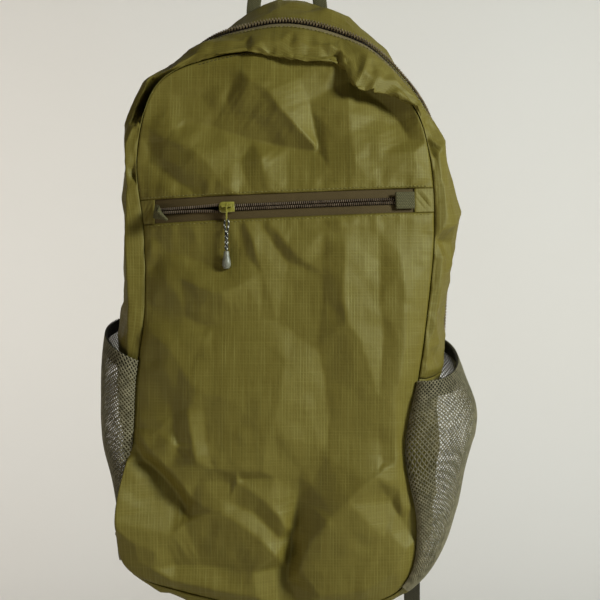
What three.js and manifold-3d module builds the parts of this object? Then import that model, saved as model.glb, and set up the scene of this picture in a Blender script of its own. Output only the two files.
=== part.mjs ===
// A lightweight backpack of thin ripstop cloth, hanging from its haul loop.
// Millimetres, +Z up. The front faces -Y and the wearer's back is at +Y.
// The origin is the inside top of the haul loop, where a hook carries the bag.
import * as THREE from "three";
import { mergeVertices } from "three/addons/utils/BufferGeometryUtils.js";
import Module from "manifold-3d";

const wasm = await Module();
wasm.setup();

// Driving dimensions
const wall = 1.2; // cloth
const gap = 0.35; // between neighbouring pieces
const netWall = 1.0;
const seamInset = 2.2; // how far a panel's edge stays inside the seam line
const stationGap = 0.008; // the same gap along the outline, in stations
const bagMiddle = new THREE.Vector3(0, -50, -270);

// The outline of the bag, a row for each section across its side, bottom or top strip.
// front and back are points of the two seams. The strip leaves the front seam towards leave and comes
// to the back seam from arrive, each [outwards, forwards] from its seam.
const stations = [
  { at: "bottom middle", front: [-4, -100, -503], back: [-1, -2, -490], leave: [20, 3], arrive: [10, 25] },
  { at: "bottom right", front: [60, -100, -499], back: [56, -2, -487], leave: [18, 3], arrive: [10, 25] },
  { at: "right corner", front: [89, -100, -480], back: [98, -2, -468], leave: [9, 4], arrive: [6, 25] },
  { at: "right low", front: [95, -102, -440], back: [115, -1, -430], leave: [8, 4], arrive: [6, 30] },
  { at: "right waist", front: [86.5, -104, -388], back: [118, 0, -380], leave: [8, 4], arrive: [6, 30] },
  { at: "right mouth", front: [95, -104, -337], back: [119, 0, -326], leave: [12, 4], arrive: [7, 30] },
  { at: "right middle", front: [101, -101, -296], back: [120, 0, -282], leave: [15, 5], arrive: [8, 30] },
  { at: "right upper", front: [107, -96, -236], back: [119, 0, -226], leave: [21, 5], arrive: [14, 28] },
  { at: "right shoulder", front: [105, -90, -180], back: [115, -1, -170], leave: [18, 6], arrive: [11, 26] },
  { at: "right arch", front: [92, -83, -138], back: [98, -2, -124], leave: [2, 18], arrive: [9, 28] },
  { at: "top right", front: [58, -78, -110], back: [58, -2, -68], leave: [-20, 28], arrive: [16, 30] },
  { at: "top middle", front: [0, -75, -97], back: [2, -2, -42], leave: [-22, 28], arrive: [8, 30] },
  { at: "top left", front: [-56, -77, -103.5], back: [-51, -2, -70], leave: [2, 20], arrive: [1, 30] },
  { at: "left arch", front: [-95, -83, -125], back: [-97, -2, -122], leave: [12, 10], arrive: [7, 28] },
  { at: "left shoulder", front: [-108, -90, -178], back: [-115, -1, -170], leave: [14.5, 6], arrive: [9, 26] },
  { at: "left upper", front: [-109, -96, -232], back: [-119, 0, -226], leave: [12.5, 5], arrive: [9, 28] },
  { at: "left middle", front: [-108, -101, -290], back: [-120, 0, -282], leave: [17, 5], arrive: [12, 30] },
  { at: "left mouth", front: [-107, -104, -337], back: [-119, 0, -326], leave: [19, 4], arrive: [13, 30] },
  { at: "left waist", front: [-110, -104, -386], back: [-118, 0, -380], leave: [10, 4], arrive: [7, 30] },
  { at: "left low", front: [-117, -102, -440], back: [-115, -1, -430], leave: [3, -2], arrive: [1, 30] },
  { at: "left corner", front: [-111, -100, -475], back: [-98, -2, -468], leave: [6, 0], arrive: [5, 25] },
  { at: "bottom left", front: [-66, -100, -492], back: [-56, -2, -487], leave: [18, 3], arrive: [10, 25] },
];
const stationOf = (name) => stations.findIndex((row) => row.at === name);
const rightCorner = stationOf("right corner");
const rightMouth = stationOf("right mouth");
const rightArch = stationOf("right arch");
const leftArch = stationOf("left arch");
const leftMouth = stationOf("left mouth");
const leftCorner = stationOf("left corner");

// Folds of the strip: where along the outline, how far across it (0 front, 1 back), the reach each
// way, and how far the cloth stands out (or in, if negative).
const stripFolds = [
  { at: "right shoulder tip", station: 8.35, across: 0.4, along: 0.16, over: 0.4, rise: 4 },
  { at: "right shoulder crease", station: 8.02, across: 0.2, along: 0.14, over: 0.3, rise: -3 },
  { at: "right side tip", station: 7.42, across: 0.4, along: 0.25, over: 0.4, rise: 5 },
  { at: "right side crease", station: 7.02, across: 0.2, along: 0.16, over: 0.3, rise: -3 },
  { at: "left arch tip", station: 13.05, across: 0.35, along: 0.18, over: 0.35, rise: 4 },
  { at: "left arch hollow", station: 13.28, across: 0.25, along: 0.14, over: 0.3, rise: -2 },
  { at: "left shoulder tip", station: 13.56, across: 0.35, along: 0.18, over: 0.35, rise: 8 },
  { at: "right arch droop", station: 9.75, across: 0.2, along: 0.25, over: 0.2, rise: 3 },
  { at: "top pucker", station: 10.45, across: 0.25, along: 0.16, over: 0.25, rise: -3 },
  { at: "top left crest", station: 12.5, across: 0.3, along: 0.5, over: 0.22, rise: 1.5 },
];

// How far the slack strip hangs down over the front panel, from station to station, and comes
// forward. Each is most at a share across the strip, and fades over its reach.
const droops = [
  { station: 8.9, drop: 0 },
  { station: 9.3, drop: 7 },
  { station: 9.6, drop: 12 },
  { station: 10, drop: 13 },
  { station: 10.3, drop: 2 },
  { station: 10.6, drop: 2 },
  { station: 11, drop: 4.5 },
  { station: 11.5, drop: 0 },
];
const droopDown = { across: 0.2, reach: 0.12, share: 2 };
const droopForward = { across: 0.3, reach: 0.18, share: 1 };

// The front panel stands forward of its seam by frontDome, most below the middle.
const frontDome = 18;
const domeLow = 1.2; // its share at the bottom and at the top
const domeHigh = 0.8;
const backDome = 4;
const domeAcross = 2.4; // how square a dome is, across and up
const domeUp = 2.6;
const foldsFrom = 3; // folds fade out where the dome is under one part in this many

// Folds of the front: a crest or a valley along a line from one [x, z] to another, the half width of
// its slope, and how far it stands forward (or back, if negative).
const frontFolds = [
  { at: "upper facet", from: [-26, -113], to: [23, -170], slope: 16, rise: 5 },
  { at: "upper valley", from: [-95, -147], to: [-18, -161], slope: 16, rise: -3 },
  { at: "upper valley end", from: [-18, -161], to: [22, -173], slope: 14, rise: -5 },
  { at: "shoulder dip", from: [-95, -168], to: [-64, -207], slope: 14, rise: -4 },
  { at: "hollow under the zip", from: [-95, -249], to: [-39, -256], slope: 20, rise: -4 },
  { at: "left soft ridge", from: [-63, -345], to: [-64, -405], slope: 12, rise: 3 },
  { at: "left big valley", from: [-106, -376], to: [-70, -432], slope: 15, rise: -9 },
  { at: "left valley turn", from: [-70, -432], to: [-32, -422], slope: 14, rise: -6 },
  { at: "low ridge", from: [-48, -424], to: [-5, -461], slope: 10, rise: 5 },
  { at: "bottom notch", from: [6, -430], to: [0, -482], slope: 16, rise: -8 },
  { at: "bottom crease", from: [-92, -460], to: [-32, -477], slope: 9, rise: -3 },
  { at: "right pinch", from: [86, -384], to: [67, -409], slope: 10, rise: 4 },
  { at: "right pinch shadow", from: [84, -398], to: [79, -426], slope: 9, rise: -4 },
  { at: "broad hollow", from: [34, -302], to: [46, -422], slope: 36, rise: -7 },
];

// Front pocket zip
const zipMiddle = -213.5; // height of its centre line at x = 0
const zipClimb = 0.044; // rise to the right
const zipWindow = 8.6; // half the height of the window that the zip lies in
const zipLeft = -94;
const zipRight = 92.5;
const tapeWall = 0.8;
const tapeTuck = 2.5; // tape under the cloth
const coilHalf = 2.1;
const coilRise = 1.3;
const coilRamp = 0.3; // from the tape to the coil
const sliderX = -41.5;
const zipParting = 1.5; // half the opening left of the slider

// The slider: plates before and behind the tapes, a post between them, and a bridge for the tab
const slider = {
  long: 11,
  wide: 8.4,
  plate: 1.2,
  nose: 3, // radius of the end where the tapes come in
  tail: 1, // radius of the other end
  taper: 0.6, // narrower by this on each side at the tail
  postLong: 3,
  postWide: 1.3,
  postInset: 2.2,
  bridgeLong: 7.2,
  bridgeBar: 1.2,
  bridgeWide: 1.8,
  bridgeRise: 4,
};

// Main zip, along the strip from station to station
const mainZip = {
  from: 5.55,
  to: 16.45,
  slider: 7.4,
  closing: 0.1, // over which the window narrows to nothing
  across: 0.53, // from the front seam to the back seam, over the top
  acrossSides: 0.71, // the same down the sides
  turnsRight: [7.6, 8.9], // stations between which it moves from one to the other
  turnsLeft: [11, 13.8],
  frontEdge: 6.5, // from the coil to the cloth on each side
  backEdge: 3,
  tabLong: 16,
  tabWide: 5,
  tabThick: 1.4,
};

// Puller
const cordThick = 1.3;
const pullTab = {
  thick: 1.2,
  deep: 4.2,
  long: 13.5,
  slotDrop: 2.5, // from the top to the middle of the slot
  slotDeep: 2.5,
  slotHigh: 3.2,
  bore: 2.6,
};
const pullEnd = { top: -246.5, long: 12.5, neck: 1.8, belly: 3.1 };

// Webbing
const webbing = 1.2;
const loopWidth = 11;
const zipLoopThick = 1;
const zipLoopRight = { width: 12, long: 13 };
const zipLoopLeft = { width: 10, long: 7, forward: 10, drop: 4 }; // stands off the cloth
const tailWidth = 13;
const tailEnd = { right: -545, left: -505 };
const webbingRoot = -447;
const strapTabLong = 14;

// Half of the haul loop, from the end sewn to the back panel up to the hook
const loopFlatBelow = -44; // height where it still lies flat
const loopEdgeAbove = -6; // height where it has turned edge on
const haulLoop = [
  { half: 27, z: -60 },
  { half: 26.5, z: -46 },
  { half: 24, z: -32 },
  { half: 18, z: -17 },
  { half: 9, z: -4 },
  { half: 0, z: webbing / 2 },
];

// Net pockets: the stations of the bottom and of the mouth at the front and back seams, and how far
// the net stands off the side, in even steps from the bottom up
const netBase = 2.15;
const bindingDeep = 0.17; // in stations
const bindingWall = 1.3;
const bulgeRoundness = 0.8; // less is fuller across the pocket
const pockets = [
  {
    side: "right",
    bottom: 1.75,
    front: 4.96,
    back: 5.36,
    bulge: [0, 3.5, 9, 12.5, 16, 22, 27.5, 28, 16, 6],
  },
  {
    side: "left",
    bottom: 19.7,
    front: 16.72,
    back: 16.24,
    bulge: [0, 0, 0.5, 6, 12.5, 13, 11, 9.5, 8.5, 7],
  },
];

// Shoulder straps: a padded upper part, a ladder lock, and webbing sewn to the back
const padThick = 4;
const strapPad = [
  { x: 32, y: "back", z: -72, width: 40 },
  { x: 33, y: "back", z: -86, width: 42 },
  { x: 40, y: 14, z: -122, width: 47 },
  { x: 54, y: 26, z: -190, width: 52 },
  { x: 72, y: 31, z: -262, width: 52 },
  { x: 90, y: 26, z: -330, width: 42 },
  { x: 100.8, y: 16.6, z: -378, width: 26 },
  { x: 101.6, y: 16, z: -399, width: 24 },
];
const lock = {
  x: 101.6,
  y: 16,
  z: -414,
  wide: 24,
  bar: 4,
  slotHigh: 6,
  slotWide: 15,
  thick: 3.5,
  corner: 2.5,
  turn: 3, // half the depth of webbing folded round a bar
  lean: 0.8, // how far the fold's middle is off the bar's middle
};

const cloth = new THREE.MeshStandardMaterial({ color: 0x6b6732, roughness: 0.55, metalness: 0 });
const tapeCloth = new THREE.MeshStandardMaterial({ color: 0x4b3c23, roughness: 0.8, metalness: 0 });
const netCloth = new THREE.MeshStandardMaterial({ color: 0x4a4334, roughness: 0.8, metalness: 0 });
const bindingCloth = new THREE.MeshStandardMaterial({ color: 0x26231f, roughness: 0.85, metalness: 0 });
const webbingCloth = new THREE.MeshStandardMaterial({ color: 0x565440, roughness: 0.8, metalness: 0 });
const paintedMetal = new THREE.MeshStandardMaterial({ color: 0x7d7a3a, roughness: 0.4, metalness: 0.3 });
const darkPlastic = new THREE.MeshStandardMaterial({ color: 0x2a2822, roughness: 0.5, metalness: 0 });
const greyPlastic = new THREE.MeshStandardMaterial({ color: 0x737064, roughness: 0.45, metalness: 0 });
const flecked = new THREE.MeshStandardMaterial({ color: 0x33332f, roughness: 0.9, metalness: 0 });

const bag = new THREE.Group();

function addPiece(name, geometry, material, place = bag) {
  const mesh = new THREE.Mesh(geometry, material);
  mesh.name = name;
  place.add(mesh);
  return mesh;
}

const lerp = THREE.MathUtils.lerp;
const clamp01 = (value) => THREE.MathUtils.clamp(value, 0, 1);
const bell = (distance) => Math.exp(-distance * distance);

// Points of a grid, rows by columns, from a function of two shares from 0 to 1
function gridOf(rows, columns, pointAt) {
  return Array.from({ length: rows + 1 }, (_, i) =>
    Array.from({ length: columns + 1 }, (_, j) => pointAt(i / rows, j / columns)),
  );
}

function gridNormals(grid) {
  const lastRow = grid.length - 1;
  const lastColumn = grid[0].length - 1;
  return grid.map((row, i) =>
    row.map((_, j) => {
      const down = grid[Math.min(i + 1, lastRow)][j].clone().sub(grid[Math.max(i - 1, 0)][j]);
      const over = grid[i][Math.min(j + 1, lastColumn)].clone().sub(grid[i][Math.max(j - 1, 0)]);
      return down.cross(over).normalize();
    }),
  );
}

// A closed wall around a grid of points: its outside stands outer from the grid and its inside inner,
// both measured outwards. outer may be a function of the row and the column.
function wallOf(grid, outer, inner) {
  const rows = grid.length;
  const columns = grid[0].length;
  const normals = gridNormals(grid);
  let facing = 0;
  grid.forEach((row, i) =>
    row.forEach((point, j) => {
      facing += normals[i][j].dot(point.clone().sub(bagMiddle));
    }),
  );
  const side = Math.sign(facing);
  const outerAt = typeof outer === "function" ? outer : () => outer;
  const positions = [];
  for (const face of [outerAt, () => inner])
    grid.forEach((row, i) =>
      row.forEach((point, j) => {
        const moved = point.clone().addScaledVector(normals[i][j], side * face(i, j));
        positions.push(moved.x, moved.y, moved.z);
      }),
    );
  const outside = (i, j) => i * columns + j;
  const inside = (i, j) => rows * columns + i * columns + j;
  const faces = [];
  const quad = (a, b, c, d) => faces.push(a, b, c, a, c, d);
  for (let i = 0; i < rows - 1; i++)
    for (let j = 0; j < columns - 1; j++) {
      quad(outside(i, j), outside(i + 1, j), outside(i + 1, j + 1), outside(i, j + 1));
      quad(inside(i, j), inside(i, j + 1), inside(i + 1, j + 1), inside(i + 1, j));
    }
  for (let i = 0; i < rows - 1; i++) {
    const last = columns - 1;
    quad(outside(i, 0), inside(i, 0), inside(i + 1, 0), outside(i + 1, 0));
    quad(outside(i, last), outside(i + 1, last), inside(i + 1, last), inside(i, last));
  }
  for (let j = 0; j < columns - 1; j++) {
    const last = rows - 1;
    quad(outside(0, j), outside(0, j + 1), inside(0, j + 1), inside(0, j));
    quad(outside(last, j), inside(last, j), inside(last, j + 1), outside(last, j + 1));
  }
  if (side < 0) faces.reverse();
  return new THREE.BufferGeometry()
    .setAttribute("position", new THREE.Float32BufferAttribute(positions, 3))
    .setIndex(faces);
}

// A flat strap along a path of points, each with its own direction across the strap
function strapOf(path, width, thick) {
  const grid = path.map(({ point, across }) => [
    point.clone().addScaledVector(across, -width(point) / 2),
    point.clone().addScaledVector(across, width(point) / 2),
  ]);
  return wallOf(grid, thick / 2, -thick / 2);
}

// Joins closed geometries that overlap into one body
function joined(geometries) {
  const solids = geometries.map((geometry) => {
    const bare = geometry.clone();
    bare.deleteAttribute("normal");
    bare.deleteAttribute("uv");
    const merged = mergeVertices(bare);
    return new wasm.Manifold(
      new wasm.Mesh({
        numProp: 3,
        vertProperties: new Float32Array(merged.attributes.position.array),
        triVerts: new Uint32Array(merged.index.array),
      }),
    );
  });
  const mesh = solids.reduce((whole, solid) => whole.add(solid)).getMesh();
  return new THREE.BufferGeometry()
    .setAttribute("position", new THREE.Float32BufferAttribute(mesh.vertProperties, 3))
    .setIndex(new THREE.Uint32BufferAttribute(mesh.triVerts, 1));
}

function boxAt(x, y, z, sizeX, sizeY, sizeZ) {
  return new THREE.BoxGeometry(sizeX, sizeY, sizeZ).translate(x, y, z);
}

// One section of the strip at any place along the outline, smooth between the rows
function sectionAt(station) {
  const count = stations.length;
  const before = Math.floor(station);
  const f = station - before;
  const weights = [
    (-f + 2 * f * f - f * f * f) / 2,
    (2 - 5 * f * f + 3 * f * f * f) / 2,
    (f + 4 * f * f - 3 * f * f * f) / 2,
    (-f * f + f * f * f) / 2,
  ];
  const rows = weights.map((_, k) => stations[(before - 1 + k + 2 * count) % count]);
  const mix = (column, axis) => rows.reduce((sum, row, k) => sum + weights[k] * row[column][axis], 0);
  return {
    front: new THREE.Vector3(mix("front", 0), mix("front", 1), mix("front", 2)),
    back: new THREE.Vector3(mix("back", 0), mix("back", 1), mix("back", 2)),
    leave: [mix("leave", 0), mix("leave", 1)],
    arrive: [mix("arrive", 0), mix("arrive", 1)],
  };
}

// The direction out of the outline, in the plane of the front
function outwardsAt(station, seam = "front") {
  const step = 0.05;
  const along = sectionAt(station + step)[seam].sub(sectionAt(station - step)[seam]);
  return new THREE.Vector3(along.z, 0, -along.x).normalize();
}

function sectionCurve(station) {
  const { front, back, leave, arrive } = sectionAt(station);
  const out = outwardsAt(station);
  const first = front.clone().addScaledVector(out, leave[0]);
  const second = back.clone().addScaledVector(out, arrive[0]);
  first.y -= leave[1];
  second.y -= arrive[1];
  return new THREE.CubicBezierCurve3(front, first, second, back);
}

// The strip's surface and the way it faces: station along the outline, across from the front seam (0)
// to the back seam (1)
function stripFrame(station, across) {
  const curve = sectionCurve(station);
  const out = outwardsAt(station);
  const way = curve.getTangent(across);
  const facing = out.clone().multiplyScalar(way.y);
  facing.y -= way.dot(out);
  facing.normalize();
  const rise = stripFolds.reduce(
    (sum, fold) =>
      sum +
      fold.rise * bell((station - fold.station) / fold.along) * bell((across - fold.across) / fold.over),
    0,
  );
  const held = Math.sin(Math.PI * clamp01(across));
  const slack = ({ across: most, reach, share }) =>
    share * held * droopAt(station) * bell((across - most) / reach);
  const point = curve.getPoint(across).addScaledVector(facing, rise * held);
  point.addScaledVector(out, -slack(droopDown));
  point.y -= slack(droopForward);
  return { point, facing };
}

function droopAt(station) {
  const after = droops.findIndex((row) => row.station > station);
  if (after < 1) return 0;
  const [a, b] = [droops[after - 1], droops[after]];
  return lerp(a.drop, b.drop, (station - a.station) / (b.station - a.station));
}

const stripPoint = (station, across) => stripFrame(station, across).point;

// The zip line's share across the strip
function zipAcross(station) {
  const right = 1 - THREE.MathUtils.smoothstep(station, ...mainZip.turnsRight);
  const left = THREE.MathUtils.smoothstep(station, ...mainZip.turnsLeft);
  return lerp(mainZip.across, mainZip.acrossSides, right + left);
}

// The share across the strip that lies a distance in mm behind its zip line
function behindZip(station, distance) {
  const step = 0.02;
  const curve = sectionCurve(station);
  const middle = zipAcross(station);
  const ahead = curve.getPoint(middle - step);
  const reach = ahead.distanceTo(curve.getPoint(middle + step));
  return middle + (distance * 2 * step) / reach;
}

const outline = Array.from({ length: stations.length * 20 }, (_, i) => sectionAt(i / 20).front);
const backOutline = Array.from({ length: stations.length * 20 }, (_, i) => sectionAt(i / 20).back);

// Where a closed outline crosses a level of one axis: its first and last point along the other
function crossings(points, axis, level, other) {
  const found = [];
  points.forEach((a, i) => {
    const b = points[(i + 1) % points.length];
    if (a[axis] > level === b[axis] > level) return;
    found.push(a.clone().lerp(b, (level - a[axis]) / (b[axis] - a[axis])));
  });
  found.sort((a, b) => a[other] - b[other]);
  return [found[0], found[found.length - 1]];
}

// Depth of a panel inside an outline: its seam's depth, and its dome as a share from 0 to 1
function panelShape(points, x, z) {
  const [left, right] = crossings(points, "z", z, "x");
  const [low, high] = crossings(points, "x", x, "z");
  const over = clamp01((x - left.x) / (right.x - left.x));
  const up = clamp01((z - low.z) / (high.z - low.z));
  const dome = (1 - Math.abs(2 * over - 1) ** domeAcross) * (1 - Math.abs(2 * up - 1) ** domeUp);
  return { seam: lerp(left.y, right.y, over), dome, up };
}

function foldRise(fold, x, z) {
  const [fromX, fromZ] = fold.from;
  const alongX = fold.to[0] - fromX;
  const alongZ = fold.to[1] - fromZ;
  const length = Math.hypot(alongX, alongZ);
  const share = ((x - fromX) * alongX + (z - fromZ) * alongZ) / (length * length);
  const nearest = clamp01(share);
  const aside = Math.hypot(x - fromX - nearest * alongX, z - fromZ - nearest * alongZ);
  return fold.rise * bell(aside / fold.slope);
}

function frontDepth(x, z) {
  const { seam, dome, up } = panelShape(outline, x, z);
  const folds = frontFolds.reduce((sum, fold) => sum + foldRise(fold, x, z), 0);
  const held = Math.min(1, foldsFrom * dome);
  return seam - dome * frontDome * lerp(domeLow, domeHigh, up) - folds * held;
}

function backDepth(x, z) {
  const { seam, dome } = panelShape(backOutline, x, z);
  return seam + dome * backDome;
}

// A point of a panel's edge, inside its seam
function panelEdge(station, seam = "front") {
  return sectionAt(station)[seam].addScaledVector(outwardsAt(station, seam), -seamInset);
}

// A patch between four edges, each a function of a share: left and right upwards, low and high rightwards
function patchPoint(edges, over, up) {
  const { left, right, low, high } = edges;
  const sum = new THREE.Vector3();
  sum.addScaledVector(low(over), 1 - up).addScaledVector(high(over), up);
  sum.addScaledVector(left(up), 1 - over).addScaledVector(right(up), over);
  sum.addScaledVector(low(0), -(1 - over) * (1 - up)).addScaledVector(low(1), -over * (1 - up));
  sum.addScaledVector(high(0), -(1 - over) * up).addScaledVector(high(1), -over * up);
  return sum;
}

function panelOf(edges, rows, columns, depth) {
  return gridOf(rows, columns, (up, over) => {
    const { x, z } = patchPoint(edges, over, up);
    return new THREE.Vector3(x, depth(x, z), z);
  });
}

const zipHeight = (x) => zipMiddle + zipClimb * x;

// The station of a side's seam at an offset above the pocket zip
function seamAtZip(from, to, offset) {
  let low = from;
  let high = to;
  for (let i = 0; i < 30; i++) {
    const middle = (low + high) / 2;
    const { x, z } = panelEdge(middle);
    if (z < zipHeight(x) + offset) low = middle;
    else high = middle;
  }
  return low;
}

const rightAtZip = (offset) => seamAtZip(rightMouth, rightArch, offset);
const leftAtZip = (offset) => seamAtZip(leftMouth, leftArch, offset);
const seamRun = (from, to) => (share) => panelEdge(lerp(from, to, share));

function straight(from, to) {
  return (share) => from.clone().lerp(to, share);
}

function zipEdge(offset) {
  return straight(panelEdge(leftAtZip(offset)), panelEdge(rightAtZip(offset)));
}

function buildFront() {
  const upperEdge = zipWindow + gap / 2;
  const lowerEdge = -upperEdge;
  const count = stations.length;
  const upper = {
    left: seamRun(leftAtZip(upperEdge), leftArch),
    right: seamRun(rightAtZip(upperEdge), rightArch),
    low: zipEdge(upperEdge),
    high: seamRun(leftArch, rightArch),
  };
  const lower = {
    left: seamRun(leftCorner, leftAtZip(lowerEdge)),
    right: seamRun(rightCorner, rightAtZip(lowerEdge)),
    low: seamRun(leftCorner, rightCorner + count),
    high: zipEdge(lowerEdge),
  };
  addPiece("front_panel_upper", wallOf(panelOf(upper, 9, 20, frontDepth), 0, -wall), cloth);
  addPiece("front_panel_lower", wallOf(panelOf(lower, 20, 20, frontDepth), 0, -wall), cloth);

  const patchEdge = zipWindow - gap / 2;
  const atZip = (x, offset) => new THREE.Vector3(x, 0, zipHeight(x) + offset);
  const leftEdges = {
    left: seamRun(leftAtZip(-patchEdge), leftAtZip(patchEdge)),
    right: straight(atZip(zipLeft, -patchEdge), atZip(zipLeft, patchEdge)),
  };
  const rightEdges = {
    left: straight(atZip(zipRight, -patchEdge), atZip(zipRight, patchEdge)),
    right: seamRun(rightAtZip(-patchEdge), rightAtZip(patchEdge)),
  };
  for (const [name, edges] of [
    ["left", leftEdges],
    ["right", rightEdges],
  ]) {
    const whole = {
      ...edges,
      low: straight(edges.left(0), edges.right(0)),
      high: straight(edges.left(1), edges.right(1)),
    };
    addPiece("zip_end_patch_" + name, wallOf(panelOf(whole, 3, 3, frontDepth), 0, -wall), cloth);
  }
}

// Half the parting of the pocket zip's two rows of coil
function partingAt(x) {
  const closed = gap / 2;
  const mouth = sliderX - slider.nose;
  const share = clamp01((x - zipLeft) / (mouth - zipLeft));
  const meeting = clamp01((sliderX + slider.nose - x) / slider.nose);
  return closed + zipParting * Math.sin((Math.PI / 2) * share) * meeting;
}

// Places along the pocket zip: tucked ends, then the start of the coil, then even steps
function pocketZipPlaces() {
  const steps = 20;
  const start = zipLeft + gap;
  const end = zipRight - gap;
  const even = Array.from({ length: steps + 1 }, (_, i) => lerp(start + coilRamp, end - coilRamp, i / steps));
  return [zipLeft - tapeTuck, start, ...even, end, zipRight + tapeTuck];
}

// One half of a zip: a tape whose inner edge carries a row of coil. The first and last two rows are
// bare tape, and so are the outer lanes.
function zipHalf(grid) {
  const tapeOutside = -(wall + gap);
  const lastCoil = grid.length - 3;
  const raised = (row, lane) => tapeOutside + (lane < 2 && row > 1 && row <= lastCoil ? coilRise : 0);
  return wallOf(grid, raised, tapeOutside - tapeWall);
}

function buildPocketZip() {
  const places = pocketZipPlaces();
  for (const [name, side] of [
    ["pocket_zip_upper", 1],
    ["pocket_zip_lower", -1],
  ]) {
    const grid = places.map((x) => {
      const start = partingAt(x);
      const lanes = [start, start + coilHalf, start + coilHalf + coilRamp, zipWindow + tapeTuck];
      return lanes.map((away) => {
        const z = zipHeight(x) + side * away;
        return new THREE.Vector3(x, frontDepth(x, z), z);
      });
    });
    addPiece(name, zipHalf(grid), tapeCloth);
  }
}

const bridgeMiddle = -(gap / 2 + slider.plate + slider.bridgeRise - slider.bridgeBar / 2);

// A slider about its own middle: its length along X and outwards -Y, with the cloth's face at y = 0.
// Where the tapes are open, a post between them carries the plate behind.
function sliderGeometry(overOpenTapes) {
  const end = slider.long / 2;
  const half = slider.wide / 2;
  const { nose, tail, taper, bridgeWide } = slider;
  const tailHalf = half - taper;
  const wing = new THREE.Shape();
  wing.moveTo(-end, -half / 2);
  wing.quadraticCurveTo(-end, -half, -end + nose, -half);
  wing.lineTo(end - tail, -tailHalf);
  wing.quadraticCurveTo(end, -tailHalf, end, -tailHalf + tail);
  wing.lineTo(end, tailHalf - tail);
  wing.quadraticCurveTo(end, tailHalf, end - tail, tailHalf);
  wing.lineTo(-end + nose, half);
  wing.quadraticCurveTo(-end, half, -end, half / 2);
  const plateAt = (back) =>
    new THREE.ExtrudeGeometry(wing, { depth: slider.plate, bevelEnabled: false, curveSegments: 4 })
      .rotateX(Math.PI / 2)
      .translate(0, back, 0);
  const frontBack = -gap / 2;
  const frontFace = frontBack - slider.plate;
  const rearFace = wall + gap + tapeWall + gap;
  const span = (from, to) => [(from + to) / 2, to - from];
  const [postMiddle, postDeep] = span(frontBack - slider.plate / 2, rearFace + slider.plate / 2);
  const bridgeTop = frontFace - slider.bridgeRise;
  const [footMiddle, footDeep] = span(bridgeTop, frontFace + slider.plate / 2);
  const footPlace = (slider.bridgeLong - slider.bridgeBar) / 2;
  const behind = [
    plateAt(rearFace + slider.plate),
    boxAt(-end + slider.postInset, postMiddle, 0, slider.postLong, postDeep, slider.postWide),
  ];
  return joined([
    plateAt(frontBack),
    ...(overOpenTapes ? behind : []),
    boxAt(0, bridgeMiddle, 0, slider.bridgeLong, slider.bridgeBar, bridgeWide),
    boxAt(-footPlace, footMiddle, 0, slider.bridgeBar, footDeep, bridgeWide),
    boxAt(footPlace, footMiddle, 0, slider.bridgeBar, footDeep, bridgeWide),
  ]);
}

// A plate that hangs on the bridge by a slot, with a bore for the cord. Its top is at the origin.
function pullTabGeometry() {
  const { thick, deep, long, slotDrop, slotDeep, slotHigh, bore } = pullTab;
  const half = deep / 2;
  const shape = new THREE.Shape();
  shape.absarc(0, -half, half, 0, Math.PI, false);
  shape.absarc(0, -long + half, half, Math.PI, 2 * Math.PI, false);
  const slot = new THREE.Path().absellipse(0, -slotDrop, slotDeep / 2, slotHigh / 2, 0, 2 * Math.PI, true);
  const hole = new THREE.Path().absarc(0, -long + half, bore / 2, 0, 2 * Math.PI, true);
  shape.holes.push(slot, hole);
  return new THREE.ExtrudeGeometry(shape, { depth: thick, bevelEnabled: false, curveSegments: 4 })
    .translate(0, 0, -thick / 2)
    .rotateX(Math.PI / 2)
    .rotateZ(Math.PI / 2);
}

// The route of the pull cord: up from its moulded end, through the tab's bore and down again
function pullCordRoute(x, tabY, endY, boreBottom) {
  const crown = boreBottom + gap + cordThick / 2;
  const neck = pullEnd.top + gap;
  const half = [
    [0.72, neck],
    [0.8, neck + 4],
    [1.1, neck + 9],
    [1.8, neck + 14],
    [2.6, crown - 4.6],
    [2.65, crown - 2.5],
    [1.75, crown - 0.65],
  ];
  const depthAt = (z) => lerp(endY, tabY, clamp01((z - neck) / (crown - cordThick - neck)));
  const at = (aside, z) => new THREE.Vector3(x + aside, depthAt(z), z);
  const rising = half.map(([aside, z]) => at(-aside, z));
  const falling = half.map(([aside, z]) => at(aside, z)).reverse();
  return [...rising, at(0, crown), ...falling];
}

function roundSection(diameter, sides) {
  const shape = new THREE.Shape();
  for (let i = 0; i < sides; i++) {
    const angle = (2 * Math.PI * i) / sides;
    const [x, y] = [Math.cos(angle), Math.sin(angle)].map((v) => (v * diameter) / 2);
    if (i === 0) shape.moveTo(x, y);
    else shape.lineTo(x, y);
  }
  return shape;
}

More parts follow.
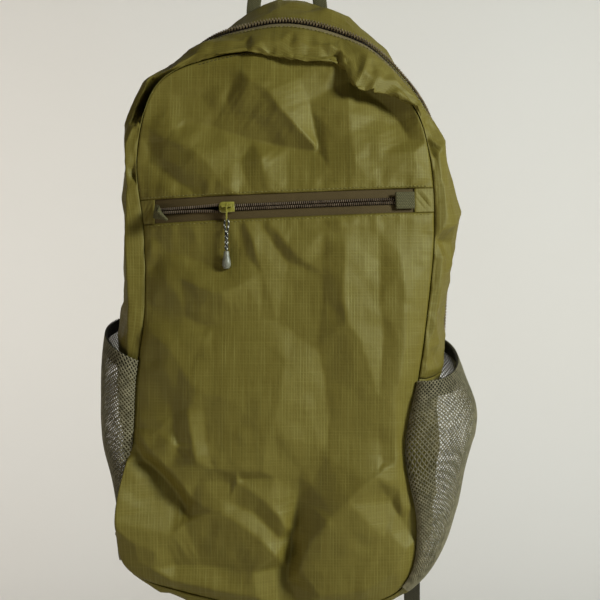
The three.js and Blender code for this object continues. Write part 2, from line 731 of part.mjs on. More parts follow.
function buildPuller() {
  const z = zipHeight(sliderX);
  const y = frontDepth(sliderX, z);
  const reach = 4; // over which the cloth's lean is taken
  const leanX = (frontDepth(sliderX + reach, z) - frontDepth(sliderX - reach, z)) / (2 * reach);
  const leanZ = (frontDepth(sliderX, z + reach) - frontDepth(sliderX, z - reach)) / (2 * reach);
  const along = new THREE.Vector3(1, leanX + leanZ * zipClimb, zipClimb).normalize();
  const inwards = new THREE.Vector3(0, leanZ, 1).cross(along).normalize();
  const seat = new THREE.Group();
  const upwards = along.clone().cross(inwards);
  seat.setRotationFromMatrix(new THREE.Matrix4().makeBasis(along, inwards, upwards));
  seat.position.set(sliderX, y, z);
  bag.add(seat);
  addPiece("pocket_zip_slider", sliderGeometry(true), paintedMetal, seat);

  const bar = seat.position.clone().addScaledVector(inwards, bridgeMiddle);
  const tabTop = bar.z + pullTab.slotDrop - gap;
  const tabY = bar.y;
  const tab = addPiece("pocket_pull_tab", pullTabGeometry(), paintedMetal);
  tab.position.set(sliderX, tabY, tabTop);

  const boreBottom = tabTop - pullTab.long + pullTab.deep / 2 - pullTab.bore / 2;
  const clothAtEnd = frontDepth(sliderX, pullEnd.top - pullEnd.long + pullEnd.belly);
  const endY = Math.min(tabY, clothAtEnd - pullEnd.belly - 2 * gap);
  const route = new THREE.CatmullRomCurve3(pullCordRoute(sliderX, tabY, endY, boreBottom));
  const cord = new THREE.ExtrudeGeometry(roundSection(cordThick, 8), { steps: 24, extrudePath: route });
  addPiece("pocket_pull_cord", cord, flecked);

  const { long, neck, belly } = pullEnd;
  const profile = [
    [0, -long],
    [belly * 0.7, -long + 0.8],
    [belly, -long + 2.8],
    [belly * 0.92, -long * 0.6],
    [neck * 1.05, -long * 0.25],
    [neck, 0],
    [0, 0],
  ].map(([r, h]) => new THREE.Vector2(r, h));
  const turned = new THREE.LatheGeometry(profile, 10).rotateX(Math.PI / 2);
  const end = addPiece("pocket_pull_end", turned, greyPlastic);
  end.position.set(sliderX, endY, pullEnd.top);
}

// A webbing loop folded back on itself from its root to its tip, with a direction across at each end
function foldedLoop({ root, bend, tip, rootAcross, tipAcross, width, thick }) {
  const steps = 5;
  const turn = 4;
  const half = (thick + gap) / 2;
  const middle = new THREE.QuadraticBezierCurve3(root, bend, tip);
  const frameAt = (share) => {
    const along = middle.getTangent(share);
    const across = rootAcross.clone().lerp(tipAcross, share);
    across.addScaledVector(along, -across.dot(along)).normalize();
    return { point: middle.getPoint(share), along, across, side: along.clone().cross(across) };
  };
  const leg = (share, way) => {
    const { point, across, side } = frameAt(share);
    return { point: point.addScaledVector(side, way * half), across };
  };
  const path = [];
  for (let i = 0; i <= steps; i++) path.push(leg(i / steps, 1));
  for (let i = 1; i < turn; i++) {
    const angle = (Math.PI * i) / turn;
    const { point, along, across, side } = frameAt(1);
    point.addScaledVector(side, half * Math.cos(angle)).addScaledVector(along, half * Math.sin(angle));
    path.push({ point, across });
  }
  for (let i = steps; i >= 0; i--) path.push(leg(i / steps, -1));
  return strapOf(path, () => width, thick);
}

function buildZipLoops() {
  const thick = zipLoopThick;
  const proud = gap + thick + gap / 2; // from the cloth's face to the middle of the folded loop
  const onFront = (x, forward, drop = 0) => {
    const z = zipHeight(x) - drop;
    return new THREE.Vector3(x, frontDepth(x, z) - forward, z);
  };
  const up = new THREE.Vector3(0, 0, 1);
  const flat = foldedLoop({
    root: onFront(zipRight - gap, proud),
    bend: onFront(zipRight - zipLoopRight.long / 2, proud),
    tip: onFront(zipRight - zipLoopRight.long, proud),
    rootAcross: up,
    tipAcross: up,
    width: zipLoopRight.width,
    thick,
  });
  const standing = foldedLoop({
    root: onFront(zipLeft + gap, proud),
    bend: onFront(zipLeft + 0.8 * zipLoopLeft.long, proud, zipLoopLeft.drop / 4),
    tip: onFront(zipLeft + zipLoopLeft.long, proud + zipLoopLeft.forward, zipLoopLeft.drop),
    rootAcross: up,
    tipAcross: new THREE.Vector3(-1, 0, 1).normalize(),
    width: zipLoopLeft.width,
    thick,
  });
  addPiece("zip_loop_right", flat, webbingCloth);
  addPiece("zip_loop_left", standing, webbingCloth);
}

// How far the main zip's window is open at a station, from 0 to 1
function windowAt(station) {
  const inside = Math.min(station - mainZip.from, mainZip.to - station);
  return THREE.MathUtils.smoothstep(inside, -mainZip.closing, 0);
}

function mainZipRows() {
  const steps = 34;
  return Array.from({ length: steps + 1 }, (_, i) => lerp(mainZip.from, mainZip.to, i / steps));
}

function buildStrips() {
  const { from, to, closing, frontEdge, backEdge } = mainZip;
  const first = rightMouth + stationGap;
  const last = leftMouth - stationGap;
  const before = [first, (first + from) / 2, from - closing];
  const after = [to + closing, (last + to) / 2, last];
  const rows = [...before, ...mainZipRows(), ...after];
  const edgeAt = (station, edge) => lerp(gap / 2, edge, windowAt(station));
  const frontShares = [0, 0.12, 0.28, 0.56, 0.87, 1];
  const backShares = [0, 0.12, 0.4, 0.7, 1];
  const frontGrid = rows.map((station) => {
    const end = behindZip(station, -edgeAt(station, frontEdge));
    return frontShares.map((share) => stripPoint(station, share * end));
  });
  const backGrid = rows.map((station) => {
    const start = behindZip(station, edgeAt(station, backEdge));
    return backShares.map((share) => stripPoint(station, lerp(start, 1, share)));
  });
  addPiece("gusset_front", wallOf(frontGrid, 0, -wall), cloth);
  addPiece("gusset_back", wallOf(backGrid, 0, -wall), cloth);

  const zipRows = [from - closing, ...mainZipRows(), to + closing];
  const zipGrid = (way, edge) =>
    zipRows.map((station) => {
      const lanes = [gap / 2, coilHalf + gap / 2, coilHalf + gap / 2 + coilRamp, edge + tapeTuck];
      return lanes.map((away) => stripPoint(station, behindZip(station, way * away)));
    });
  addPiece("main_zip_front", zipHalf(zipGrid(-1, frontEdge)), tapeCloth);
  addPiece("main_zip_back", zipHalf(zipGrid(1, backEdge)), tapeCloth);
}

// The main slider rests on the right, behind the side tip, its plain tab hanging along the coil
function buildMainSlider() {
  const across = zipAcross(mainZip.slider);
  const { point, facing } = stripFrame(mainZip.slider, across);
  const ahead = stripPoint(mainZip.slider - 0.1, across);
  const down = ahead.sub(point).normalize();
  const inwards = facing.clone().negate();
  inwards.addScaledVector(down, -inwards.dot(down)).normalize();
  const seat = new THREE.Group();
  seat.setRotationFromMatrix(new THREE.Matrix4().makeBasis(down, inwards, down.clone().cross(inwards)));
  seat.position.copy(point);
  bag.add(seat);
  const { tabLong, tabWide, tabThick } = mainZip;
  const top = -(gap / 2 + slider.plate + slider.bridgeRise);
  const tabMiddle = (slider.bridgeLong + tabLong) / 2 - slider.bridgeBar;
  const tab = boxAt(tabMiddle, top + tabThick / 2, 0, tabLong, tabThick, tabWide);
  addPiece("main_zip_slider", joined([sliderGeometry(false), tab]), paintedMetal, seat);
}

// Side and bottom cloth: the whole strip between two stations
function buildLowerStrip() {
  const count = stations.length;
  for (const { name, from, to, rows } of [
    { name: "bottom_panel", from: leftCorner - count, to: rightCorner, rows: 16 },
    { name: "side_panel_right", from: rightCorner, to: rightMouth, rows: 12 },
    { name: "side_panel_left", from: leftMouth, to: leftCorner, rows: 12 },
  ]) {
    const grid = gridOf(rows, 6, (along, across) =>
      stripPoint(lerp(from + stationGap, to - stationGap, along), across),
    );
    addPiece(name, wallOf(grid, 0, -wall), cloth);
  }
}

function buildBack() {
  const count = stations.length;
  const run = (from, to) => (share) => panelEdge(lerp(from, to, share), "back");
  const edges = {
    left: run(leftCorner, leftArch),
    right: run(rightCorner, rightArch),
    low: run(leftCorner, rightCorner + count),
    high: run(leftArch, rightArch),
  };
  addPiece("back_panel", wallOf(panelOf(edges, 10, 12, backDepth), 0, -wall), cloth);
}

// A smooth value at a share from 0 to 1 along evenly spaced values
function alongValues(values, share) {
  const points = values.map((value, i) => new THREE.Vector2(i, value));
  return new THREE.SplineCurve(points).getPoint(clamp01(share)).y;
}

// A net pocket stands off the side by netBase at its seams and by its bulge between them
function pocketPoint(pocket, station, across) {
  const { point, facing } = stripFrame(station, across);
  const share = (station - pocket.bottom) / (pocket.back - pocket.bottom);
  const bulge = alongValues(pocket.bulge, share) * Math.sin(Math.PI * across) ** bulgeRoundness;
  return point.addScaledVector(facing, netBase + bulge);
}

function buildPockets() {
  for (const pocket of pockets) {
    const way = Math.sign(pocket.back - pocket.bottom);
    const mouthAt = (across) => lerp(pocket.front, pocket.back, across);
    const netTop = (across) => mouthAt(across) - way * (bindingDeep + stationGap);
    const net = gridOf(12, 8, (up, across) =>
      pocketPoint(pocket, lerp(pocket.bottom, netTop(across), up), across),
    );
    addPiece("net_pocket_" + pocket.side, wallOf(net, 0, -netWall), netCloth);
    const binding = gridOf(2, 10, (up, across) =>
      pocketPoint(pocket, mouthAt(across) - way * bindingDeep * (1 - up), across),
    );
    addPiece("pocket_binding_" + pocket.side, wallOf(binding, 0, -bindingWall), bindingCloth);
  }
}

// The haul loop lies flat on the back panel at both ends and turns edge on at the top
function buildHaulLoop() {
  const rootY = backDepth(0, haulLoop[0].z) + gap + webbing / 2;
  const right = haulLoop.map(({ half, z }) => new THREE.Vector3(half, rootY, z));
  const left = right.slice(0, -1).reverse();
  const points = [...right, ...left.map((point) => new THREE.Vector3(-point.x, point.y, point.z))];
  const curve = new THREE.CatmullRomCurve3(points);
  const steps = 28;
  const path = Array.from({ length: steps + 1 }, (_, i) => {
    const point = curve.getPointAt(i / steps);
    const along = curve.getTangentAt(i / steps);
    const turn = (Math.PI / 2) * THREE.MathUtils.smoothstep(point.z, loopFlatBelow, loopEdgeAbove);
    const across = new THREE.Vector3(Math.sign(point.x) * Math.cos(turn), Math.sin(turn), 0);
    across.addScaledVector(along, -across.dot(along)).normalize();
    return { point, across };
  });
  addPiece("haul_loop", strapOf(path, () => loopWidth, webbing), webbingCloth);
}

function roundedBox(width, height, radius) {
  const x = width / 2;
  const z = height / 2;
  const shape = new THREE.Shape();
  shape.moveTo(x, -z + radius);
  shape.absarc(x - radius, z - radius, radius, 0, Math.PI / 2, false);
  shape.absarc(-x + radius, z - radius, radius, Math.PI / 2, Math.PI, false);
  shape.absarc(-x + radius, -z + radius, radius, Math.PI, 1.5 * Math.PI, false);
  shape.absarc(x - radius, -z + radius, radius, 1.5 * Math.PI, 2 * Math.PI, false);
  return shape;
}

// A ladder lock: three bars across, with a slot between each two
function ladderLockGeometry() {
  const { wide, bar, slotHigh, slotWide, thick, corner } = lock;
  const high = 3 * bar + 2 * slotHigh;
  const shape = roundedBox(wide, high, corner);
  for (const way of [-1, 1]) {
    const middle = (way * (bar + slotHigh)) / 2;
    const corners = [[-1, -1], [-1, 1], [1, 1], [1, -1]];
    const slot = corners.map(([x, y]) => new THREE.Vector2((x * slotWide) / 2, middle + (y * slotHigh) / 2));
    shape.holes.push(new THREE.Path(slot));
  }
  return new THREE.ExtrudeGeometry(shape, { depth: thick, bevelEnabled: false, curveSegments: 2 })
    .translate(0, 0, -thick / 2)
    .rotateX(Math.PI / 2);
}

function buildStraps() {
  const { bar, slotHigh, turn } = lock;
  const upperBar = lock.z + bar + slotHigh;
  const across = new THREE.Vector3(1, 0, 0);
  const arc = (middleZ, way, y) =>
    Array.from({ length: 7 }, (_, i) => {
      const angle = Math.PI * (1 - i / 6);
      return [y + turn * Math.cos(angle), middleZ + way * turn * Math.sin(angle)];
    });
  for (const { side, way, tail } of [
    { side: "right", way: 1, tail: tailEnd.right },
    { side: "left", way: -1, tail: tailEnd.left },
  ]) {
    const onBack = (x, z, thick, width) => {
      const edges = [-1, 0, 1].map((edge) => backDepth(way * x + (edge * width) / 2, z));
      return Math.max(...edges) + gap + thick / 2;
    };
    const rows = strapPad.map(({ x, y, z, width }) => ({
      point: new THREE.Vector3(way * x, y === "back" ? onBack(x, z, padThick, width) : y, z),
      width,
    }));
    const curve = new THREE.CatmullRomCurve3(rows.map((row) => row.point));
    const widths = rows.map((row) => row.width);
    const pad = gridOf(18, 2, (along, over) =>
      curve.getPoint(along).addScaledVector(across, (over - 0.5) * alongValues(widths, along)),
    );
    addPiece("strap_pad_" + side, wallOf(pad, padThick / 2, -padThick / 2), cloth);

    const strap = (places, width) =>
      strapOf(
        places.map(([y, z]) => ({ point: new THREE.Vector3(way * lock.x, y, z), across })),
        () => width,
        webbing,
      );
    const tabTop = upperBar + strapTabLong;
    const tab = [[lock.y - turn, tabTop], ...arc(upperBar - lock.lean, -1, lock.y), [lock.y + turn, tabTop]];
    addPiece("strap_tab_" + side, strap(tab, tailWidth), webbingCloth);

    const buckle = addPiece("ladder_lock_" + side, ladderLockGeometry(), darkPlastic);
    buckle.position.set(way * lock.x, lock.y, lock.z);

    const rootY = onBack(lock.x, webbingRoot, webbing, tailWidth);
    const web = [
      [rootY, webbingRoot],
      [rootY, webbingRoot + 8],
      [lerp(rootY, lock.y - turn, 0.5), webbingRoot + 14],
      [lock.y - turn, lock.z - 8],
      ...arc(lock.z + lock.lean, 1, lock.y),
      [lock.y + turn, lock.z - 12],
      [lock.y + turn + 1, lerp(lock.z, tail, 0.5)],
      [lock.y + turn, tail],
    ];
    addPiece("strap_webbing_" + side, strap(web, tailWidth), webbingCloth);
  }
}

buildFront();
buildPocketZip();
buildPuller();
buildZipLoops();
buildStrips();
buildMainSlider();
buildLowerStrip();
buildBack();
buildPockets();
buildHaulLoop();
buildStraps();

export default bag;
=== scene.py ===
import math
import bpy
import numpy as np
from mathutils import Matrix, Vector
from mathutils.geometry import delaunay_2d_cdt


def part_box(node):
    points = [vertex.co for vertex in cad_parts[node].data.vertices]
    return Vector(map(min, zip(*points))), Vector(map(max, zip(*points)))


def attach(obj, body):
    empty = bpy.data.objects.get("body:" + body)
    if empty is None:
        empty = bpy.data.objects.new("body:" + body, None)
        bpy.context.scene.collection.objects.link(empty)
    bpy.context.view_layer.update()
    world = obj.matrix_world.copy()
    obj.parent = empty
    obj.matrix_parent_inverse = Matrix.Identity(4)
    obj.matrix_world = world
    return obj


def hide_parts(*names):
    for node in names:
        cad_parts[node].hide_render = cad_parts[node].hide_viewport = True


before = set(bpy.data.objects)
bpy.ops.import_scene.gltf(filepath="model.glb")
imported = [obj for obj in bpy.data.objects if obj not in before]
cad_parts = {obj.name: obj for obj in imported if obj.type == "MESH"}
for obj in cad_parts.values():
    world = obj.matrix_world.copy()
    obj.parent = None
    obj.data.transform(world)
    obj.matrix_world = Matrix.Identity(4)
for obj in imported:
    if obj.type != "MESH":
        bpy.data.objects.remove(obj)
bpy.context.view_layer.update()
mm = 0.001  # tables below are in millimetres
bagMiddle = np.array([0.0, -50.0, -270.0])
print("frame loaded:", len(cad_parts), "nodes")

# The camera stands level, in front of the bag's middle
photoCamera = {"place": (0.0104, -0.970, -0.281), "lens": 72.86, "sensor": 36.0}


def addCamera():
    bpy.ops.object.camera_add(location=photoCamera["place"], rotation=(math.pi / 2, 0, 0))
    camera = bpy.context.object
    camera.data.lens = photoCamera["lens"]
    camera.data.sensor_width = photoCamera["sensor"]
    bpy.context.scene.camera = camera


addCamera()


# Node helpers
def setSocket(tree, socket, value):  # a link, or a fixed value
    if isinstance(value, bpy.types.NodeSocket):
        tree.links.new(value, socket)
    else:
        socket.default_value = value


def feed(tree, node, values):
    for key, value in values.items():
        setSocket(tree, node.inputs[key], value)


def addNode(tree, kind, inputs=None, **settings):
    made = tree.nodes.new(kind)
    for key, value in settings.items():
        setattr(made, key, value)
    feed(tree, made, inputs or {})
    return made


def maths(tree, operation, first, second=0.0):
    return addNode(tree, "ShaderNodeMath", {0: first, 1: second}, operation=operation).outputs[0]


def weighted(tree, first, firstShare, second, secondShare):
    parts = maths(tree, "MULTIPLY", first, firstShare), maths(tree, "MULTIPLY", second, secondShare)
    return maths(tree, "ADD", *parts)


def fromMiddle(tree, value):  # distance from the middle of each repeat
    return maths(tree, "ABSOLUTE", maths(tree, "SUBTRACT", maths(tree, "FRACT", value), 0.5))


def remap(tree, value, fromLow, fromHigh, toLow, toHigh):
    inputs = {"Value": value, "From Min": fromLow, "From Max": fromHigh, "To Min": toLow, "To Max": toHigh}
    return addNode(tree, "ShaderNodeMapRange", inputs).outputs["Result"]


def noise(tree, vector, scale, detail):
    return addNode(tree, "ShaderNodeTexNoise", {"Vector": vector, "Scale": scale, "Detail": detail}).outputs[0]


def axes(tree, vector):
    return addNode(tree, "ShaderNodeSeparateXYZ", {0: vector}).outputs


def blendColours(tree, share, first, second):
    mix = addNode(tree, "ShaderNodeMix", data_type="RGBA")
    sockets = {"Factor_Float": share, "A_Color": first, "B_Color": second}
    for socket in mix.inputs:
        if socket.identifier in sockets:
            setSocket(tree, socket, sockets[socket.identifier])
    return next(s for s in mix.outputs if s.identifier == "Result_Color")


def srgb(red, green, blue):
    linear = [((c / 255 + 0.055) / 1.055) ** 2.4 if c > 10 else c / 255 / 12.92 for c in (red, green, blue)]
    return (*linear, 1.0)


def startGroup(name, inputs, outputs):
    group = bpy.data.node_groups.new(name, "ShaderNodeTree")
    for label, kind, value in inputs:
        socket = group.interface.new_socket(label, in_out="INPUT", socket_type=kind)
        if value is not None:
            socket.default_value = value
    for label in outputs:
        group.interface.new_socket(label, in_out="OUTPUT", socket_type="NodeSocketFloat")
    return group, group.nodes.new("NodeGroupInput").outputs, group.nodes.new("NodeGroupOutput")


def ripstopGroup():  # upright ribs, heavier level threads, and streaks along both
    inputs = [("Vector", "NodeSocketVector", None), ("Pitch", "NodeSocketFloat", 0.003)]
    group, given, result = startGroup("ripstopWeave", inputs, ["Ribs", "Levels", "Streak", "Height"])
    perPitch = maths(group, "DIVIDE", 1.0, given["Pitch"])
    cell = addNode(group, "ShaderNodeVectorMath", {0: given["Vector"], "Scale": perPitch}, operation="SCALE")
    parts = axes(group, cell.outputs[0])
    streaks, threads = [], []
    for axis, thin, stretch in ((0, 0.24, (900.0, 30.0, 1.0)), (1, 0.28, (24.0, 700.0, 1.0))):
        line = remap(group, fromMiddle(group, parts[axis]), thin, 0.47, 0.0, 1.0)
        long = addNode(group, "ShaderNodeVectorMath", {0: given["Vector"], 1: stretch}, operation="MULTIPLY")
        streaks.append(remap(group, noise(group, long.outputs[0], 1.0, 2.0), 0.32, 0.68, 0.0, 1.0))
        threads.append(maths(group, "MULTIPLY", line, streaks[-1]))
    streak = weighted(group, streaks[0], 0.65, streaks[1], 0.35)
    height = maths(group, "ADD", maths(group, "MAXIMUM", *threads), maths(group, "MULTIPLY", streak, 0.4))
    feed(group, result, {"Ribs": threads[0], "Levels": threads[1], "Streak": streak, "Height": height})
    return group


def weaveGroup():  # over and under of a plain weave, for tapes and webbing
    inputs = [("Vector", "NodeSocketVector", None)]
    inputs += [(label, "NodeSocketFloat", 0.001) for label in ("Across", "Along")]
    group, given, result = startGroup("threadWeave", inputs, ["Mask", "Height"])
    parts = axes(group, given["Vector"])
    across = maths(group, "DIVIDE", parts[0], given["Across"])
    along = maths(group, "DIVIDE", parts[1], given["Along"])
    shifted = maths(group, "ADD", along, maths(group, "MULTIPLY", maths(group, "FLOOR", across), 0.5))
    turns = [maths(group, "MULTIPLY", maths(group, "FRACT", value), math.pi) for value in (across, shifted)]
    height = maths(group, "MULTIPLY", *[maths(group, "SINE", turn) for turn in turns])
    fleck = noise(group, given["Vector"], 900.0, 2.0)
    feed(group, result, {"Mask": weighted(group, height, 0.7, fleck, 0.3), "Height": height})
    return group


def softNoiseGroup():  # broad and fine unevenness, for dye, crumple and handling
    inputs = [("Vector", "NodeSocketVector", None), ("Size", "NodeSocketFloat", 0.02)]
    group, given, result = startGroup("unevenness", inputs, ["Broad", "Fine"])
    perSize = maths(group, "DIVIDE", 1.0, given["Size"])
    broad = noise(group, given["Vector"], perSize, 3.0)
    fine = noise(group, given["Vector"], maths(group, "MULTIPLY", perSize, 9.0), 2.0)
    feed(group, result, {"Broad": broad, "Fine": fine})
    return group


ripstopWeave = ripstopGroup()
threadWeave = weaveGroup()
unevenness = softNoiseGroup()


def placeGroup(tree, group, inputs):
    return addNode(tree, "ShaderNodeGroup", inputs, node_tree=group).outputs


def startMaterial(name, constants):
    material = bpy.data.materials.new(name)
    material.use_nodes = True
    tree = material.node_tree
    shader = tree.nodes["Principled BSDF"]
    feed(tree, shader, constants)
    return material, tree, shader, addNode(tree, "ShaderNodeTexCoord").outputs


def bumpOver(tree, height, distance, strength, under=None):
    inputs = {"Height": height, "Distance": distance, "Strength": strength}
    if under is not None:
        inputs["Normal"] = under
    return addNode(tree, "ShaderNodeBump", inputs).outputs[0]


ripstopLook = {
    "dark": srgb(95, 82, 28),
    "light": srgb(107, 95, 39),
    "thread": srgb(132, 126, 66),
    "gleam": (0.9, 0.92, 0.62, 1.0),
    "specular": (0.36, 0.0),  # seen square on, and edge on
    "rough": (0.62, 0.54),  # between threads, and on them
    "pitch": 0.0021,
    "ribShow": 0.27,
    "levelShow": 0.08,
}


def ripstopMaterial(name, look):
    material, tree, shader, coords = startMaterial(name, {"Specular Tint": look["gleam"]})
    slant = addNode(tree, "ShaderNodeLayerWeight", {"Blend": 0.5})
    glancing = maths(tree, "POWER", slant.outputs["Facing"], 3.0)
    weave = placeGroup(tree, ripstopWeave, {"Vector": coords["UV"], "Pitch": look["pitch"]})
    uneven = placeGroup(tree, unevenness, {"Vector": coords["Object"], "Size": 0.05})
    cloth = blendColours(tree, weave["Streak"], look["dark"], look["light"])
    cloth = blendColours(tree, remap(tree, uneven["Broad"], 0.3, 0.7, 0.0, 0.25), cloth, look["dark"])
    for label, show in (("Ribs", look["ribShow"]), ("Levels", look["levelShow"])):
        cloth = blendColours(tree, maths(tree, "MULTIPLY", weave[label], show), cloth, look["thread"])
    soft = bumpOver(tree, noise(tree, coords["UV"], 130.0, 3.0), 0.0006, 0.6)
    feed(tree, shader, {
        "Specular IOR Level": remap(tree, glancing, 0.0, 1.0, *look["specular"]),
        "Base Color": cloth,
        "Roughness": remap(tree, weave["Height"], 0.0, 1.2, *look["rough"]),
        "Normal": bumpOver(tree, weave["Height"], 0.0001, 0.7, soft),
    })
    return material


def wovenMaterial(name, dark, light, across, along):
    material, tree, shader, coords = startMaterial(name, {"Specular IOR Level": 0.25})
    weave = placeGroup(tree, threadWeave, {"Vector": coords["UV"], "Across": across, "Along": along})
    uneven = placeGroup(tree, unevenness, {"Vector": coords["Object"], "Size": 0.012})
    worn = maths(tree, "ADD", weave["Mask"], maths(tree, "MULTIPLY", uneven["Broad"], 0.4))
    feed(tree, shader, {
        "Base Color": blendColours(tree, remap(tree, worn, 0.2, 1.2, 0.0, 1.0), dark, light),
        "Roughness": remap(tree, uneven["Fine"], 0.2, 0.8, 0.65, 0.85),
        "Normal": bumpOver(tree, weave["Height"], 0.25 * min(across, along), 0.8),
    })
    return material


def zipTapeMaterial(name, dark, light, coilShade):  # darker under the coil, which lies along the tape's inner edge: painted shade of the coil on the tape
    material = wovenMaterial(name, dark, light, 0.0006, 0.0011)
    tree = material.node_tree
    shader = tree.nodes["Principled BSDF"]
    woven = shader.inputs["Base Color"].links[0].from_socket
    inwards = axes(tree, addNode(tree, "ShaderNodeTexCoord").outputs["UV"])[0]
    # painted shade: full under the coil, fading out just past it
    under = remap(tree, inwards, 0.0022, 0.0028, 1.0, 0.0)
    feed(tree, shader, {"Base Color": blendColours(tree, under, woven, coilShade)})
    return material


def braidMaterial(name, dark, light):  # two pale yarns wound round a dark cord
    material, tree, shader, coords = startMaterial(name, {"Sheen Weight": 0.2})
    parts = axes(tree, coords["UV"])
    yarn = fromMiddle(tree, maths(tree, "ADD", parts[0], maths(tree, "DIVIDE", parts[1], 0.0042)))
    over = fromMiddle(tree, maths(tree, "SUBTRACT", parts[0], maths(tree, "DIVIDE", parts[1], 0.0029)))
    shown = remap(tree, yarn, 0.3, 0.36, 0.0, 1.0), remap(tree, over, 0.16, 0.24, 0.0, 1.0)
    feed(tree, shader, {
        "Base Color": blendColours(tree, maths(tree, "MULTIPLY", *shown), dark, light),
        "Roughness": remap(tree, over, 0.0, 0.5, 0.8, 0.6),
        "Normal": bumpOver(tree, over, 0.0002, 0.8),
    })
    return material


# Finishes: size of the unevenness, spread of the colours, roughness about its middle, bump, fixed inputs
threadFinish = {
    "size": 0.004,
    "spread": (0.3, 0.7),
    "rough": (-0.1, 0.1),
    "bump": (0.0001, 0.6),
    "fixed": {"Specular IOR Level": 0.28},
}
sewingFinish = {**threadFinish, "size": 0.002}
mouldedFinish = {
    "size": 0.004,
    "spread": (0.35, 0.65),
    "rough": (-0.06, 0.08),
    "bump": (0.00006, 0.4),
    "fixed": {},
}
paintFinish = {**mouldedFinish, "fixed": {"Metallic": 0.1, "Coat Weight": 0.3}}


def plainMaterial(name, dark, light, roughness, finish):
    material, tree, shader, coords = startMaterial(name, finish["fixed"])
    uneven = placeGroup(tree, unevenness, {"Vector": coords["Object"], "Size": finish["size"]})
    share = remap(tree, uneven["Broad"], *finish["spread"], 0.0, 1.0)
    rough = [roughness + change for change in finish["rough"]]
    feed(tree, shader, {
        "Base Color": blendColours(tree, share, dark, light),
        "Roughness": remap(tree, uneven["Fine"], 0.2, 0.8, *rough),
        "Normal": bumpOver(tree, uneven["Fine"], *finish["bump"]),
    })
    return material


oliveCloth = ripstopMaterial("oliveRipstop", ripstopLook)
# the last colour of each tape is painted shade under its coil
zipTape = zipTapeMaterial("zipTapeWeave", srgb(62, 48, 22), srgb(90, 74, 42), srgb(14, 10, 5))
topTape = zipTapeMaterial("topZipTapeWeave", srgb(98, 86, 58), srgb(128, 114, 82), srgb(44, 34, 22))
coilNylon = plainMaterial("zipCoilNylon", srgb(80, 63, 47), srgb(118, 99, 78), 0.42, threadFinish)
topCoilNylon = plainMaterial("topZipCoilNylon", srgb(86, 71, 48), srgb(128, 110, 82), 0.42, threadFinish)
netThread = plainMaterial("netThread", srgb(90, 83, 61), srgb(132, 123, 97), 0.6, threadFinish)
bindingTape = wovenMaterial("bindingTape", srgb(14, 13, 10), srgb(30, 28, 22), 0.0009, 0.0012)
bindingOuter = wovenMaterial("bindingOuter", srgb(34, 30, 20), srgb(58, 52, 36), 0.0012, 0.0014)
loopWebbing = wovenMaterial("loopWebbing", srgb(58, 54, 32), srgb(100, 94, 62), 0.0011, 0.0016)
strapWebbing = wovenMaterial("strapWebbing", srgb(36, 32, 22), srgb(66, 60, 44), 0.0011, 0.0016)
olivePaint = plainMaterial("olivePaint", srgb(122, 114, 40), srgb(150, 142, 62), 0.32, paintFinish)
greyPlastic = plainMaterial("cordEndPlastic", srgb(96, 94, 82), srgb(128, 126, 112), 0.4, mouldedFinish)
darkPlastic = plainMaterial("ladderLockPlastic", srgb(24, 23, 20), srgb(40, 38, 33), 0.5, mouldedFinish)
fleckedCord = braidMaterial("fleckedCord", srgb(22, 21, 18), srgb(214, 210, 196))
oliveThread = plainMaterial("sewingThread", srgb(97, 88, 40), srgb(129, 119, 62), 0.6, sewingFinish)
darkThread = plainMaterial("darkSewingThread", srgb(40, 36, 22), srgb(70, 64, 42), 0.6, sewingFinish)
print("materials made")


# Mesh helpers
def unit(vectors):
    return vectors / np.maximum(np.linalg.norm(vectors, axis=-1, keepdims=True), 1e-9)


def smoothStep(value, low, high):
    share = np.clip((value - low) / (high - low), 0, 1)
    return share * share * (3 - 2 * share)


def bell(distance, reach):
    return np.exp(-((distance / reach) ** 2))


def squared(value, power):  # a sine or cosine with fuller corners
    return np.sign(value) * np.abs(value) ** power


def turnAngles(sides):
    return np.linspace(0, 2 * math.pi, sides, endpoint=False)


def runLength(points):  # distance along each row of points
    steps = np.linalg.norm(np.diff(points, axis=-2), axis=-1)
    return np.concatenate([np.zeros_like(steps[..., :1]), np.cumsum(steps, -1)], -1)


def placesAlong(points, length, places):  # points at given distances along a line
    return np.stack([np.interp(places, length, points[:, k]) for k in range(3)], -1)


def evenRun(points, count):
    length = runLength(points)
    return placesAlong(points, length, np.linspace(0, length[-1], count))


def newPiece(name, mesh, material, nodes=()):
    piece = bpy.data.objects.new(name, mesh)
    bpy.context.scene.collection.objects.link(piece)
    finishPiece(piece, material, nodes)
    return piece


def finishPiece(piece, material, nodes=()):
    piece.data.materials.clear()
    for each in material if isinstance(material, (list, tuple)) else [material]:
        piece.data.materials.append(each)
    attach(piece, "root")
    if nodes:
        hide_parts(*nodes)


def quadMesh(name, points, quads, uv=None):  # points in mm, uv in metres for each corner of each quad
    mesh = bpy.data.meshes.new(name)
    mesh.vertices.add(len(points))
    mesh.vertices.foreach_set("co", (np.asarray(points) * mm).astype(np.float32).ravel())
    mesh.loops.add(quads.size)
    mesh.loops.foreach_set("vertex_index", quads.astype(np.int32).ravel())
    mesh.polygons.add(len(quads))
    mesh.polygons.foreach_set("loop_start", np.arange(0, quads.size, 4, dtype=np.int32))
    mesh.update(calc_edges=True)
    mesh.polygons.foreach_set("use_smooth", np.ones(len(quads), bool))
    if uv is not None:
        layer = mesh.uv_layers.new(name="pattern")
        layer.data.foreach_set("uv", uv.astype(np.float32).ravel())
    return mesh


def gridMesh(name, grid, uv):  # faces turned away from the bag's middle
    rows, columns = grid.shape[:2]
    index = np.arange(rows * columns).reshape(rows, columns)
    quads = np.stack([index[:-1, :-1], index[1:, :-1], index[1:, 1:], index[:-1, 1:]], -1).reshape(-1, 4)
    points = grid.reshape(-1, 3)
    corners = points[quads]
    normals = np.cross(corners[:, 2] - corners[:, 0], corners[:, 3] - corners[:, 1])
    if (normals * (corners.mean(1) - bagMiddle)).sum() < 0:
        quads = quads[:, ::-1]
    return quadMesh(name, points, quads, uv.reshape(-1, 2)[quads])


